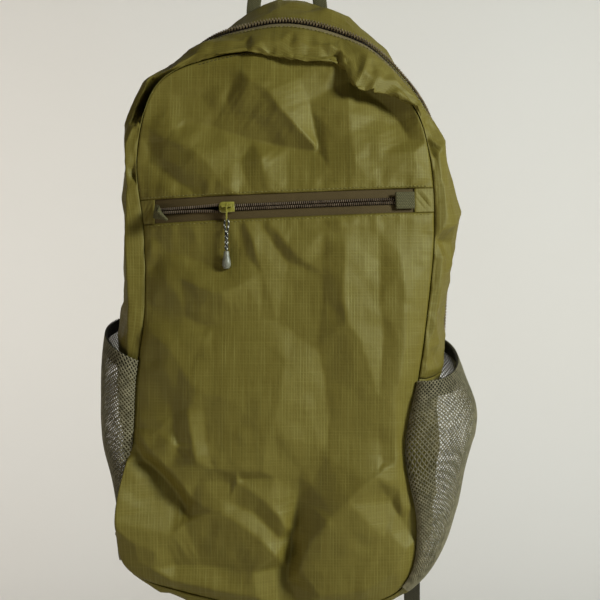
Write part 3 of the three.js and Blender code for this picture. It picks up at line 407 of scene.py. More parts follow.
def thicken(piece, thick):  # inwards from its faces
    wall = piece.modifiers.new("wall", "SOLIDIFY")
    wall.thickness = thick * mm
    wall.offset = -1
    return wall


clothThick = 0.45
tapeThick = 0.5


def clothPiece(name, grid, uv, nodes, thick=clothThick, material=oliveCloth):
    piece = newPiece(name, gridMesh(name, grid, uv), material, nodes)
    thicken(piece, thick)
    diagonals = grid[1:, 1:] - grid[:-1, :-1], grid[1:, :-1] - grid[:-1, 1:]
    area = 0.5 * np.linalg.norm(np.cross(*diagonals), axis=-1).sum() * mm * mm
    return piece, area


def deselectAll():
    if bpy.context.object is not None and bpy.context.object.mode != "OBJECT":
        bpy.ops.object.mode_set(mode="OBJECT")
    bpy.ops.object.select_all(action="DESELECT")


def selectOnly(*pieces):  # the first is the active one
    deselectAll()
    for piece in pieces:
        piece.select_set(True)
    bpy.context.view_layer.objects.active = pieces[0]


def editAll():
    bpy.ops.object.mode_set(mode="EDIT")
    bpy.ops.mesh.select_all(action="SELECT")


def ringQuads(count, sides):  # between neighbouring rings of points
    index = np.arange(count * sides).reshape(count, sides)
    after = np.roll(index, -1, 1)
    return np.stack([index[:-1], after[:-1], after[1:], index[1:]], -1).reshape(-1, 4)


def loopMesh(name, rings, uvAlong, uvRound):  # closed rings along a path, with capped ends
    count, sides = rings.shape[:2]
    corners = uvRound[:-1], uvRound[1:], uvAlong[:-1, None], uvAlong[1:, None]
    near, far, low, high = (np.broadcast_to(each, (count - 1, sides)) for each in corners)
    uv = np.stack([near, low, far, low, far, high, near, high], -1).reshape(-1, 8)
    mesh = quadMesh(name, rings.reshape(-1, 3), ringQuads(count, sides), uv)
    piece = bpy.data.objects.new(name + " draft", mesh)
    bpy.context.scene.collection.objects.link(piece)
    selectOnly(piece)
    editAll()
    bpy.ops.mesh.fill_holes(sides=0)
    bpy.ops.mesh.select_all(action="SELECT")
    bpy.ops.mesh.normals_make_consistent(inside=False)
    bpy.ops.object.mode_set(mode="OBJECT")
    bpy.data.objects.remove(piece)
    return mesh


def splineWeights(f):  # of the four points around a share between two
    return (
        (-f + 2 * f**2 - f**3) / 2,
        (2 - 5 * f**2 + 3 * f**3) / 2,
        (f + 4 * f**2 - 3 * f**3) / 2,
        (-(f**2) + f**3) / 2,
    )


def curveThrough(points, count):  # smooth open curve through a few points
    points = np.asarray(points, float)
    padded = np.concatenate([2 * points[:1] - points[1:2], points, 2 * points[-1:] - points[-2:-1]])
    place = np.linspace(0, len(points) - 1, count)
    before = np.minimum(place.astype(int), len(points) - 2)
    weights = splineWeights((place - before)[:, None])
    return sum(w * padded[before + k] for k, w in enumerate(weights))


def roundTube(name, path, radius, sides):
    along = unit(np.gradient(path, axis=0))
    side = unit(np.cross(along, np.broadcast_to([0.0, 1.0, 0.02], along.shape)))
    over = np.cross(along, side)
    angle = turnAngles(sides)[None, :, None]
    rings = path[:, None] + radius * (np.cos(angle) * side[:, None] + np.sin(angle) * over[:, None])
    return loopMesh(name, rings, runLength(path) * mm, np.linspace(0, 1, sides + 1))


# Pull cord: doubled through the tab's bore, from the places that the frame gives
pullCord = {
    "thick": 1.3,
    "apart": 0.7,
    "turns": 1.5,
    "wound": (0.0, 11.0),  # above the neck
    "slant": 0.95,  # turns the bow away from the front
    "bow": [(1.5, -7.5), (2.55, -4.6), (2.65, -2.5), (1.75, -0.65)],  # aside, below the crown
}


def boxOf(node):
    low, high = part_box(node)
    return np.array(low) / mm, np.array(high) / mm


def buildPullCord():
    low, high = boxOf("pocket_pull_cord")
    tabLow, tabHigh = boxOf("pocket_pull_tab")
    endLow, endHigh = boxOf("pocket_pull_end")
    crown = high[2] - pullCord["thick"] / 2
    neck = low[2]
    x = (low[0] + high[0]) / 2
    tabY = (tabLow[1] + tabHigh[1]) / 2
    endY = (endLow[1] + endHigh[1]) / 2

    def place(aside, forward, z):
        share = min(1, max(0, (z - neck) / (crown - pullCord["thick"] - neck)))
        return [x + aside, endY + (tabY - endY) * share - forward, z]

    def strand(way):
        low, high = pullCord["wound"]
        slant = pullCord["slant"]
        wound = []
        for share in np.linspace(0, 1, 12):
            angle = 2 * math.pi * pullCord["turns"] * (share - 1) + slant
            aside, forward = pullCord["apart"] * math.cos(angle), pullCord["apart"] * math.sin(angle)
            wound.append(place(way * aside, way * forward, neck + low + (high - low) * share))
        bow = [(way * aside, z) for aside, z in pullCord["bow"]]
        return wound + [place(a * math.cos(slant), a * math.sin(slant), crown + z) for a, z in bow]

    path = curveThrough(strand(-1) + [place(0, 0, crown)] + strand(1)[::-1], 150)
    mesh = roundTube("pocket_pull_cord_braid", path, pullCord["thick"] / 2, 10)
    return newPiece("pocket_pull_cord_braid", mesh, fleckedCord, ["pocket_pull_cord"]), path


cordPiece, cordPath = buildPullCord()
print("pull cord made,", round(float(runLength(cordPath)[-1])), "mm of it")

# Outline of the bag in millimetres. Columns: name, point of the front seam and of the back seam, and how
# the strip between them leaves the front and comes to the back, outwards and forwards
outlineRows = [
    ("bottom middle", (-4, -100, -503), (-1, -2, -490), (20, 3), (10, 25)),
    ("bottom right", (60, -100, -499), (56, -2, -487), (18, 3), (10, 25)),
    ("right corner", (89, -100, -480), (98, -2, -468), (9, 4), (6, 25)),
    ("right low", (95, -102, -440), (115, -1, -430), (8, 4), (6, 30)),
    ("right waist", (86.5, -104, -388), (118, 0, -380), (8, 4), (6, 30)),
    ("right mouth", (95, -104, -337), (119, 0, -326), (12, 4), (7, 30)),
    ("right middle", (101, -101, -296), (120, 0, -282), (15, 5), (8, 30)),
    ("right upper", (107, -96, -236), (119, 0, -226), (21, 5), (14, 28)),
    ("right shoulder", (105, -90, -180), (115, -1, -170), (18, 6), (11, 26)),
    ("right arch", (92, -83, -138), (98, -2, -124), (2, 18), (9, 28)),
    ("top right", (58, -78, -110), (58, -2, -68), (-20, 28), (16, 30)),
    ("top middle", (0, -75, -97), (2, -2, -42), (-22, 28), (8, 30)),
    ("top left", (-56, -77, -103.5), (-51, -2, -70), (2, 20), (1, 30)),
    ("left arch", (-95, -83, -125), (-97, -2, -122), (12, 10), (7, 28)),
    ("left shoulder", (-108, -90, -178), (-115, -1, -170), (14.5, 6), (6, 26)),
    ("left upper", (-102, -96, -232), (-119, 0, -226), (24, 5), (5, 28)),
    ("left middle", (-101, -101, -290), (-120, 0, -282), (21, 5), (12, 30)),
    ("left mouth", (-107, -104, -337), (-119, 0, -326), (19, 4), (13, 30)),
    ("left waist", (-110, -104, -386), (-118, 0, -380), (10, 4), (7, 30)),
    ("left low", (-117, -102, -440), (-115, -1, -430), (3, -2), (1, 30)),
    ("left corner", (-111, -100, -475), (-98, -2, -468), (6, 0), (5, 25)),
    ("bottom left", (-66, -100, -492), (-56, -2, -487), (18, 3), (10, 25)),
]
stationOf = {row[0]: i for i, row in enumerate(outlineRows)}
stationCount = len(outlineRows)
outlineTable = np.array([sum(row[1:], ()) for row in outlineRows], float)
rightCorner, rightMouth, rightArch = (stationOf["right " + place] for place in ("corner", "mouth", "arch"))
leftCorner, leftMouth, leftArch = (stationOf["left " + place] for place in ("corner", "mouth", "arch"))


def alongOutline(station):
    before = np.floor(station).astype(int)
    weights = splineWeights((station - before)[..., None])
    return sum(w * outlineTable[(before - 1 + k) % stationCount] for k, w in enumerate(weights))


def seamPoint(station, seam="front"):
    row = alongOutline(np.asarray(station, float))
    return row[..., 0:3] if seam == "front" else row[..., 3:6]


def outwardsAt(station, seam="front"):
    step = 0.05
    along = seamPoint(station + step, seam) - seamPoint(station - step, seam)
    return unit(np.stack([along[..., 2], np.zeros_like(along[..., 0]), -along[..., 0]], -1))


def stripSection(station, across):
    row = alongOutline(station)
    front, back, leave, arrive = row[..., 0:3], row[..., 3:6], row[..., 6:8], row[..., 8:10]
    out = outwardsAt(station)
    forward = np.array([0.0, -1.0, 0.0])
    first = front + out * leave[..., :1] + forward * leave[..., 1:]
    second = back + out * arrive[..., :1] + forward * arrive[..., 1:]
    t = across[..., None]
    point = (1 - t) ** 3 * front + 3 * (1 - t) ** 2 * t * first + 3 * (1 - t) * t**2 * second + t**3 * back
    way = (1 - t) ** 2 * (first - front) + 2 * (1 - t) * t * (second - first) + t**2 * (back - second)
    facing = out * way[..., 1:2] + forward * (way * out).sum(-1, keepdims=True)
    return point, unit(facing), out


# Creases of the strip between the seams: lines of (station, share across, rise), with flat facets between
stripCreases = [
    [(9.2, 0.3, -2), (8.8, 0.32, -2), (8.25, 0.42, 3)],  # right shoulder ridge
    [(8.25, 0.42, 3), (8.14, 0.22, 2), (8.0, 0.08, -2)],  # right shoulder crease
    [(8.7, 0.1, -4), (8.5, 0.12, -7), (8.2, 0.1, -9)],
    [(7.95, 0.3, 1), (7.9, 0.44, -1), (7.6, 0.44, 1), (7.28, 0.46, 5)],  # right side ridge
    [(7.85, 0.12, 1), (7.55, 0.14, 1.5), (7.3, 0.14, 2)],
    [(7.28, 0.46, 5), (7.15, 0.28, 4), (7.1, 0.1, 2)],  # right side crease
    [(6.98, 0.05, -5), (6.95, 0.15, -9), (6.93, 0.26, -8), (6.9, 0.38, -2)],
    [(6.75, 0.13, 0.5), (6.4, 0.14, 1), (5.9, 0.16, 1)],  # right side below
    [(5.16, 0.1, 2), (5.12, 0.3, 4), (5.1, 0.55, 3)],  # right pocket roll
    [(11.85, 0.36, 1), (12.1, 0.41, 3), (12.35, 0.43, 2.5), (12.6, 0.43, -0.5),  # top left edge
     (12.8, 0.42, 0), (13.03, 0.36, 4)],
    [(13.03, 0.36, 3), (13.6, 0.34, 6)],  # left arch edge
    [(13.03, 0.36, 3), (13.0, 0.26, 2)],
    [(12.94, 0.29, 2), (13.1, 0.29, 0), (13.3, 0.29, 0), (13.48, 0.26, 1)],
    [(13.6, 0.34, 6), (13.62, 0.15, 1), (13.66, 0.05, -2)],  # left shoulder crease
    [(13.7, 0.3, 5), (13.85, 0.16, 5), (14.1, 0.14, 4), (14.4, 0.14, 2.5),  # left side edge
     (14.65, 0.14, 4.5), (15.1, 0.16, 7)],
    [(15.1, 0.16, 7), (15.6, 0.16, 6.5), (16.2, 0.15, 4.5), (16.7, 0.13, 2)],
    [(14.2, 0.04, -5), (14.24, 0.08, -5), (14.28, 0.12, -1)],  # left pinch
    [(10.45, 0.12, -2), (10.45, 0.28, -3), (10.47, 0.4, -1)],  # top pucker
]
stripRecesses = [  # the same, with how far each place goes straight back
    [(12.2, 0.04, 2), (12.5, 0.05, 6), (12.75, 0.06, 13), (12.95, 0.06, 22), (13.1, 0.06, 30),  # left arch
     (13.3, 0.06, 30), (13.45, 0.06, 12), (13.56, 0.06, 0)],
    [(12.66, 0.12, 4), (12.84, 0.13, 16), (12.95, 0.14, 26), (13.1, 0.14, 34), (13.3, 0.14, 34),
     (13.45, 0.13, 14)],
    [(12.88, 0.22, 3), (12.98, 0.22, 18), (13.1, 0.22, 26), (13.3, 0.22, 26), (13.43, 0.21, 10)],
    [(10.3, 0.08, 8), (10.37, 0.16, 14), (10.42, 0.26, 8)],  # top notch
]
stripScale = {"station": 52.0, "across": 95.0}  # millimetres

# How far the slack front strip hangs over the front panel at each station
stripDroops = [
    (8.88, 0), (9.0, 2), (9.14, 6), (9.3, 7), (9.45, 10), (9.56, 14), (9.7, 13), (9.84, 15.5), (10.0, 15),
    (10.12, 9.5), (10.2, 6), (10.28, 2), (10.42, 1), (10.6, 3), (10.85, 5.5), (11.1, 4.5), (11.3, 3), (11.5, 0),
]
droopDown = {"across": 0.2, "reach": 0.12, "share": 2.0}
droopForward = {"across": 0.3, "reach": 0.18, "share": 1.0}
droopCurve = curveThrough([(s, 0, d) for s, d in stripDroops], 400)
facetShake = 0.35  # share of their distance that the corners of facets are moved


def facetField(places, u, v):  # flat facets between scattered places: u, v, and the values there
    places = np.asarray(places, float)
    verts, _, faces, origins, _, _ = delaunay_2d_cdt([Vector(p[:2]) for p in places], [], [], 0, 1e-3)
    corners = np.array([[*vert, *places[origin[0], 2:]] for vert, origin in zip(verts, origins)])
    shape = np.broadcast(u, v).shape
    u, v = (np.ravel(each) for each in np.broadcast_arrays(u, v))
    total = np.zeros((len(u), places.shape[1] - 2))
    for face in faces:
        a, b, c = corners[list(face)]
        size = (b[0] - a[0]) * (c[1] - a[1]) - (c[0] - a[0]) * (b[1] - a[1])
        if abs(size) < 1e-6:
            continue
        lowU, highU = min(a[0], b[0], c[0]), max(a[0], b[0], c[0])
        lowV, highV = min(a[1], b[1], c[1]), max(a[1], b[1], c[1])
        near = np.flatnonzero((u >= lowU) & (u <= highU) & (v >= lowV) & (v <= highV))
        nearU, nearV = u[near], v[near]
        second = ((nearU - a[0]) * (c[1] - a[1]) - (c[0] - a[0]) * (nearV - a[1])) / size
        third = ((b[0] - a[0]) * (nearV - a[1]) - (nearU - a[0]) * (b[1] - a[1])) / size
        inside = (second >= -1e-6) & (third >= -1e-6) & (second + third <= 1 + 1e-6)
        steps = second[inside, None] * (b[2:] - a[2:]) + third[inside, None] * (c[2:] - a[2:])
        total[near[inside]] = a[2:] + steps
    return total.reshape(*shape, -1)


def crumple(u, v, seed, size, amount, span):  # small facets of folded nylon over a span of (low, high) each way
    wheel = np.random.default_rng(seed)
    us, vs = (np.arange(low - 2 * size, high + 2 * size, size) for low, high in span)
    lattice = np.stack(np.meshgrid(us, vs), -1).reshape(-1, 2)
    shaken = lattice + wheel.uniform(-facetShake, facetShake, lattice.shape) * size
    return facetField(np.column_stack([shaken, wheel.normal(0, amount, len(lattice))]), u, v)[..., 0]


def puckerWave(along, size, seed):  # uneven ripple along a seam, from -1 to 1
    wheel = np.random.default_rng(seed)
    total = np.zeros_like(along)
    for scale in (1.0, 1.63, 0.58):
        drift = wheel.uniform(0, 6, 2)
        turn = 2 * math.pi * along / (size * scale) + drift[0]
        total += np.sin(turn + np.sin(along / (size * 3.7) + drift[1]))
    return total / 3


def ripple(along, distance, row):  # puckers that fade away from an edge
    wave = row["rise"] * puckerWave(along, row["size"], row["seed"])
    return wave * np.exp(-distance / row["reach"]) * smoothStep(distance, *row["from"])


def rolled(distance, roll):  # how far an edge turns in
    deep, reach = roll
    return deep * bell(distance, reach)


stripCrumple = {
    "seed": 7,
    "apart": (0.33, 0.175),  # of facet corners, in stations and in shares across
    "rows": (0.13, 0.95),  # shares across that they lie between
    "rise": 1.7,
    "keep": 9.0,  # clear of creases, in millimetres
    "slack": (8.9, 11.6),  # closer corners where the strip hangs over
    "slackApart": (0.12, 0.08),
    "slackRows": (0.08, 0.16, 0.24, 0.33),
    "slackKeep": 2.5,
    "creaseStep": 0.12,
    "recessStep": 0.06,
    "seamStep": 0.2,
    "ends": (-3.5, 1.0),  # stations kept before the first and after the last
    "offZip": (4, 15),  # millimetres over which the cloth comes free of the zip, and of the seams
    "offSeam": (0, 4),
    "pastZip": 0.2,
    "flat": 0.92,
    "facets": (5, 9.0, 0.45),  # seed, size, amount
    "span": ((-170.0, 1200.0), (-10.0, 105.0)),
}


def stripPlaces():  # corners of the strip's facets, with the strip's own points there
    cut = stripCrumple
    scale = np.array([stripScale["station"], stripScale["across"]])
    wheel = np.random.default_rng(cut["seed"])
    creases = []
    for line in stripCreases:
        creases += [[s, a, rise, 0] for s, a, rise in creasePlaces(line, cut["creaseStep"])]
    for line in stripRecesses:
        creases += [[s, a, 0, back] for s, a, back in creasePlaces(line, cut["recessStep"])]
    creases = np.array(creases)

    def shaken(station, across, apart):
        return np.array([station, across]) + wheel.uniform(-facetShake, facetShake, 2) * apart

    def toCrease(place):
        return np.linalg.norm((creases[:, :2] - place) * scale, axis=1).min()

    corners = [*creases]
    for s in np.arange(0, stationCount, cut["apart"][0]):
        for across in np.arange(*cut["rows"], cut["apart"][1]):
            place = shaken(s, across, cut["apart"])
            rise = wheel.normal(0, cut["rise"])
            if toCrease(place) > cut["keep"]:
                corners.append(np.array([*place, rise, 0]))
    for s in np.arange(*cut["slack"], cut["slackApart"][0]):
        for across in cut["slackRows"]:
            place = shaken(s, across, cut["slackApart"])
            if toCrease(place) > cut["slackKeep"]:
                corners.append(np.array([*place, wheel.normal(0, cut["rise"]), 0]))
    for s in np.arange(0, stationCount, cut["seamStep"]):
        corners += [np.array([s, seam, 0.0, 0.0]) for seam in (0.0, 1.0)]
    corners = np.concatenate([np.array(corners) + [turn * stationCount, 0, 0, 0] for turn in (-1, 0, 1)])
    first, last = cut["ends"][0], stationCount + cut["ends"][1]
    corners = corners[(corners[:, 0] > first) & (corners[:, 0] < last)]
    point, facing = stripShape(corners[:, 0], corners[:, 1])
    moved = point + facing * corners[:, 2:3] + np.array([0.0, 1.0, 0.0]) * corners[:, 3:]
    return np.column_stack([corners[:, :2] * scale, moved])


def creasePlaces(line, apart):  # even steps along a line
    places = []
    for start, end in zip(np.array(line[:-1], float), np.array(line[1:], float)):
        count = max(1, round(math.dist(start[:2], end[:2]) / apart))
        places += [start + (end - start) * k / count for k in range(count)]
    return places + [np.array(line[-1], float)]


def stripShape(station, across):  # the smooth strip, with its slack
    point, facing, out = stripSection(station, across)
    held = np.sin(math.pi * np.clip(across, 0, 1))
    slack = np.interp(station, droopCurve[:, 0], np.maximum(droopCurve[:, 2], 0)) * held
    for droop, way in ((droopDown, -out), (droopForward, np.array([0.0, -1.0, 0.0]))):
        near = bell(across - droop["across"], droop["reach"])
        point = point + way * (droop["share"] * slack * near)[..., None]
    return point, facing


def stripSurface(station, across, lively=True):
    station, across = np.broadcast_arrays(np.asarray(station, float), np.asarray(across, float))
    point, facing = stripShape(station, across)
    if not lively:
        return point, facing
    along, over = station * stripScale["station"], np.clip(across, 0, 1) * stripScale["across"]
    fine = facing * crumple(along, over, *stripCrumple["facets"], stripCrumple["span"])[..., None]
    fromZip = np.abs(across - zipAcross(station)) * stripScale["across"]
    past = stripCrumple["pastZip"]
    zipped = (station > mainZip["from"] - past) & (station < mainZip["to"] + past)
    free = np.where(zipped, smoothStep(fromZip, *stripCrumple["offZip"]), 1.0)
    for fromSeam in (over, stripScale["across"] - over):
        free = free * smoothStep(fromSeam, *stripCrumple["offSeam"])
    free = free * stripCrumple["flat"]
    flat = facetField(stripFacets, along, over) + fine
    return point + (flat - point) * free[..., None], facing


mainZip = {
    "from": 5.55,
    "to": 16.45,
    "slider": 7.4,
    "closing": 0.1,
    "across": 0.53,  # share from the front seam, over the top
    "acrossSides": 0.8,
    "turnsRight": (8.2, 9.4),
    "turnsLeft": (11.5, 12.9),
    "frontEdge": 6.5,
    "backEdge": 3.0,
    "gap": 0.15,  # half the gap between the two sides
    "tuck": 2.5,  # tape under the cloth
    "tapeDepth": 0.7,
    "coilLift": 1.2,
    "coilHalf": 2.6,
    "coilTip": 0.2,
    "coilThick": 1.3,
    "tooth": 2.3,
}


def zipAcross(station):
    right = 1 - smoothStep(station, *mainZip["turnsRight"])
    left = smoothStep(station, *mainZip["turnsLeft"])
    return mainZip["across"] + (mainZip["acrossSides"] - mainZip["across"]) * (right + left)


stripFacets = stripPlaces()


def behindZip(station, distance):
    step = 0.02
    middle = zipAcross(station)
    ahead, behind = (stripSection(station, middle + way * step)[0] for way in (-1, 1))
    return middle + distance * 2 * step / np.linalg.norm(behind - ahead, axis=-1)


def onMainZip(station, distance, ahead=0.0):  # place and facing behind the zip's line, on the smooth strip
    return stripSurface(station + ahead, behindZip(station, distance), lively=False)


def blurred(field, steps):  # evens out a grid of values, keeping its edges
    field = field.copy()
    for _ in range(steps):
        inner = field[1:-1, 1:-1]
        around = field[:-2, 1:-1] + field[2:, 1:-1] + field[1:-1, :-2] + field[1:-1, 2:]
        field[1:-1, 1:-1] = 0.5 * inner + 0.125 * around
    return field


# The front panel's depth: its seam, a dome, and facets between creases, each a line of (x, z, rise)
frontShape = {
    "dome": 18.0,
    "low": 1.2,  # of the dome, at the bottom and at the top
    "high": 0.8,
    "across": 3.8,  # squareness of the dome, each way
    "up": 2.6,
    "back": 4.0,
    "level": (-106.0, 92.0),
}
frontCreases = {
    "lower": [
        [(-105, -380, -3), (-96, -394, -6), (-86, -405, -7.5), (-77, -417, -8), (-71, -428, -6.5),
         (-69, -435, -3)],  # left crease
        [(-100, -378, 1), (-91, -390, 1), (-81, -401, 1), (-72, -412, 0.5), (-64, -424, -1)],  # and its wall
        [(-110, -396, 3), (-113, -410, 5.5), (-114, -426, 7), (-112, -441, 7), (-102, -452, 6),
         (-90, -459, 5), (-79, -447, 3), (-71, -438, 0.5)],  # left facet edge
        [(-100, -466, 4.5), (-80, -480, 4), (-50, -487, 4), (-20, -492, 3.5)],  # bottom left edge
        [(24, -491, 4), (56, -487, 4.5), (76, -475, 4.5), (86, -458, 4)],  # bottom right edge
        [(-104, -368, 0.5), (-89, -374, 1.5), (-73, -385, 1)],  # left wedge
        [(-80, -355, -1), (-78, -372, -1.5), (-74, -386, -1)],  # upright ridge foot
        [(-68, -357, 1), (-66, -372, 3), (-63, -390, 3), (-61, -403, 1)],  # upright ridge
        [(-57, -358, 0), (-55, -379, 0), (-52, -395, 0.5)],  # upright ridge fall
        [(-56, -398, 2), (-39, -400, 2), (-16, -401, 1.5)],  # level ridge
        [(-61, -409, -1), (-42, -408, -1.5), (-25, -407, -1.5), (-7, -406, -1)],  # level valley
        [(-34, -408, 0.5), (-28, -411, 1), (-14, -422, 2), (-4, -433, 2), (1, -441, 0.5)],  # second ridge
        [(-58, -426, 1), (-45, -430, 2), (-33, -437, 2.5), (-18, -449, 3), (-6, -461, 3.5)],  # low crest
        [(-46, -421, -0.3), (-22, -431, -0.8), (-8, -446, -1.5), (0, -455, -3)],  # low valley
        [(-78, -470, -1), (-60, -470, -1.5), (-40, -473, -1), (-23, -474, 2)],  # low facet foot
        [(10, -401, -4), (10, -412, -5), (9, -422, -5.5), (7, -434, -6), (5, -446, -7), (4, -460, -8),  # notch
         (2, -472, -8), (1, -483, -6)],
        [(69, -399, 4.5), (63, -405, 5), (52, -414, 5), (40, -426, 4.5), (28, -439, 4), (18, -451, 3),
         (12, -464, 2), (9, -474, 1.5)],  # right slope
        [(66, -350, 0), (66, -380, 0), (68, -396, 1)],  # right roll foot
        [(77, -352, 2), (78, -380, 3), (78, -396, 3.5), (80, -410, 3), (83, -428, 1.5)],  # right roll
        [(75, -424, -1.5), (82, -436, -1.5), (88, -446, -1)],  # right roll end
        [(74, -446, 2.5), (52, -462, 2.5)],  # right low
        [(23, -313, -3), (28, -337, -4), (31, -365, -4), (28, -390, -3.5),  # broad hollow
         (19, -411, -3)],
        [(0, -323, 1), (-4, -351, 2), (-12, -379, 2)],  # middle swell
        [(-81, -316, 0.5), (-63, -344, 2), (-35, -351, 2)],  # left swell
        [(-88, -246, -2), (-70, -251, -3), (-56, -255, -3.5), (-44, -257, -3),  # hollow under the zip
         (-33, -254, -2)],
        [(-74, -266, 1), (-60, -272, 2.5), (-44, -276, 2.5), (-28, -269, 1.5), (-16, -262, 0.5)],  # crescent
        [(-70, -294, -3), (-56, -300, -4), (-35, -296, -3), (-16, -292, -3), (0, -299, -3),  # crescent valley
         (12, -309, -3)],
        [(-32, -229, -0.5), (-29, -239, -1.5), (-25, -253, -1)],  # pucker one
        [(-27, -229, 1), (-23, -239, 1.5), (-20, -251, 0.8)],  # pucker one side
        [(-15, -230, -0.5), (-7, -242, -1.5), (2, -254, -1.5)],  # pucker two
        [(-9, -229, 1), (-1, -239, 2), (8, -250, 1)],  # pucker two side
        [(28, -230, 0), (26, -253, -1), (26, -281, -2)],  # right band foot
        [(43, -229, 1), (42, -246, 2), (41, -274, 2.5), (43, -296, 2), (53, -309, 1)],  # right band
        [(66, -229, 0), (67, -253, -1.5), (67, -281, -1.8), (69, -306, -1)],  # right band fall
        [(80, -246, 1), (84, -262, 2), (85, -288, 2.5), (84, -316, 2.5)],  # right edge swell
    ],
    "upper": [
        [(-34, -114, 1), (-24, -122, 2.5), (-12, -131, 4), (-4, -143, 4), (8, -156, 3),  # facet ridge
         (21, -169, -1)],
        [(-91, -141, -1), (-75, -147, -2.5), (-57, -154, -3.5), (-29, -164, -5), (-4, -170, -5),  # upper valley
         (23, -174, -4)],
        [(10, -119, 0), (15, -131, -2), (19, -147, -3.5), (23, -169, -4)],  # facet fall
        [(-99, -171, -1), (-89, -183, -1.5), (-76, -196, -2), (-66, -205, -1.5)],  # shoulder dip
        [(-86, -165, 0.3), (-69, -171, 1.7), (-57, -181, 2), (-45, -199, 1.5)],  # shoulder ridge
        [(-41, -169, -1), (-32, -181, -1), (-27, -199, -0.5)],  # shoulder fall
        [(-17, -180, 1), (-14, -199, 1)],  # soft ridge
        [(28, -153, -2), (30, -174, -1.5), (32, -196, -0.5)],  # right ridge foot
        [(46, -147, 0.5), (47, -164, 1), (50, -181, 1), (52, -197, 0.5)],  # right ridge
        [(64, -162, -1), (70, -180, 0.5), (78, -193, 1)],  # right ridge fall
        [(46, -121, -3.5), (60, -128, -6), (73, -137, -6.5), (83, -150, -5.5), (90, -164, -2)],  # arch hollow
        [(93, -174, 2), (94, -186, 2.5), (92, -197, 1)],  # right edge
    ],
}


def crossingTable(points, axis, other):  # first and last place of an outline at each level
    levels = np.linspace(points[:, axis].min() + 0.05, points[:, axis].max() - 0.05, 900)
    nextPoints = np.roll(points, -1, 0)
    a, b = points[:, axis], nextPoints[:, axis]
    crosses = (a[None] > levels[:, None]) != (b[None] > levels[:, None])
    share = (levels[:, None] - a) / np.where(b == a, 1, b - a)
    place = points[:, other] + share * (nextPoints[:, other] - points[:, other])
    depth = points[:, 1] + share * (nextPoints[:, 1] - points[:, 1])
    first = np.where(crosses, place, np.inf).argmin(1)
    last = np.where(crosses, place, -np.inf).argmax(1)
    row = np.arange(len(levels))
    return levels, place[row, first], place[row, last], depth[row, first], depth[row, last]


def outlineTables(seam):
    points = seamPoint(np.arange(0, stationCount, 0.04), seam)
    return crossingTable(points, 2, 0), crossingTable(points, 0, 2)


outlineLevels = {seam: outlineTables(seam) for seam in ("front", "back")}


def panelShape(seam, x, z):
    (zLevels, left, right, leftY, rightY), (xLevels, low, high, _, _) = outlineLevels[seam]
    leftX, rightX = np.interp(z, zLevels, left), np.interp(z, zLevels, right)
    level = np.clip(x, *frontShape["level"])
    lowZ, highZ = np.interp(level, xLevels, low), np.interp(level, xLevels, high)
    over = np.clip((x - leftX) / (rightX - leftX), 0, 1)
    up = np.clip((z - lowZ) / (highZ - lowZ), 0, 1)
    dome = (1 - np.abs(2 * over - 1) ** frontShape["across"]) * (1 - np.abs(2 * up - 1) ** frontShape["up"])
    seamY = np.interp(z, zLevels, leftY) * (1 - over) + np.interp(z, zLevels, rightY) * over
    toSeam = {"left": x - leftX, "right": rightX - x, "low": z - lowZ, "high": highZ - z}
    return seamY, dome, up, toSeam


def frontDepth(x, z):
    seamY, dome, up, _ = panelShape("front", x, z)
    full = frontShape["low"] + (frontShape["high"] - frontShape["low"]) * up
    return seamY - dome * frontShape["dome"] * full


def frontRelief(name, x, z, edges):  # facets, crumple, and puckers off the seams and the zip
    cut = frontCut
    places = [row for line in frontCreases[name] for row in creasePlaces(line, cut["creaseStep"])]
    places += [np.array([p[0], p[2], 0.0]) for edge in edges for p in edge[:: cut["outlineStep"]]]
    relief = cut["relief"][name] * blurred(facetField(places, x, z)[..., 0], cut["reliefBlur"])
    _, dome, _, toSeam = panelShape("front", x, z)
    fine = sum(crumple(x, z, *row, cut["span"]) for row in cut["facets"])
    calm = cut["calm"]
    fine = fine * (1 - calm["share"] * bell(x - calm["x"], calm["wide"]) * bell(z - calm["z"], calm["high"]))
    pucker = cut["seamPucker"]
    for side, along, seed in (("left", z, 21), ("right", z, 22), ("low", x, 23), ("high", x, 24)):
        fade = np.exp(-np.maximum(toSeam[side], 0) / pucker["reach"])
        fine = fine + pucker["rise"] * puckerWave(along, pucker["size"], seed) * fade
    fromZip = np.abs(z - zipHeight(x)) - pocketZip["window"]
    fine = fine * smoothStep(fromZip, *cut["offZip"]) + ripple(x, fromZip, cut["zipPucker"])
    nearest = np.maximum(np.minimum.reduce(list(toSeam.values())), 0)
    tuck = rolled(nearest, cut["seamRoll"]) + rolled(fromZip, cut["hemRoll"])
    return relief + blurred(fine, cut["fineBlur"]) * np.minimum(1, cut["fineFrom"] * dome) - tuck


def backDepth(x, z):
    seamY, dome, _, _ = panelShape("back", x, z)
    return seamY + dome * frontShape["back"]


pocketZip = {
    "middle": -213.5,
    "climb": 0.044,
    "window": 8.6,
    "left": -94.0,
    "right": 92.5,
    "sliderX": -41.5,
    "sliderNose": 3.0,
    "parting": 1.5,  # half the opening left of the slider
    "gap": 0.15,  # half the gap where it is closed
    "tuck": 2.5,  # tape under the cloth
    "tapeDepth": 1.55,  # behind the cloth's face
    "coilRise": 1.0,
    "coilHalf": 2.1,
    "coilThick": 0.85,
    "coilShort": 0.1,  # of the middle, where the parting is under the next number
    "closed": 0.4,
    "tooth": 1.45,  # from one tooth to the next
}


def zipHeight(x):
    return pocketZip["middle"] + pocketZip["climb"] * x


def panelEdge(station, seam="front", inset=0.3):
    return seamPoint(station, seam) - outwardsAt(station, seam) * inset


def atZip(side, offset):  # the station where a side's seam passes the zip's edge
    low, high = float(stationOf[side + " mouth"]), float(stationOf[side + " arch"])
    for _ in range(30):
        middle = (low + high) / 2
        point = panelEdge(np.array(middle))
        low, high = (middle, high) if point[2] < zipHeight(point[0]) + offset else (low, middle)
    return low


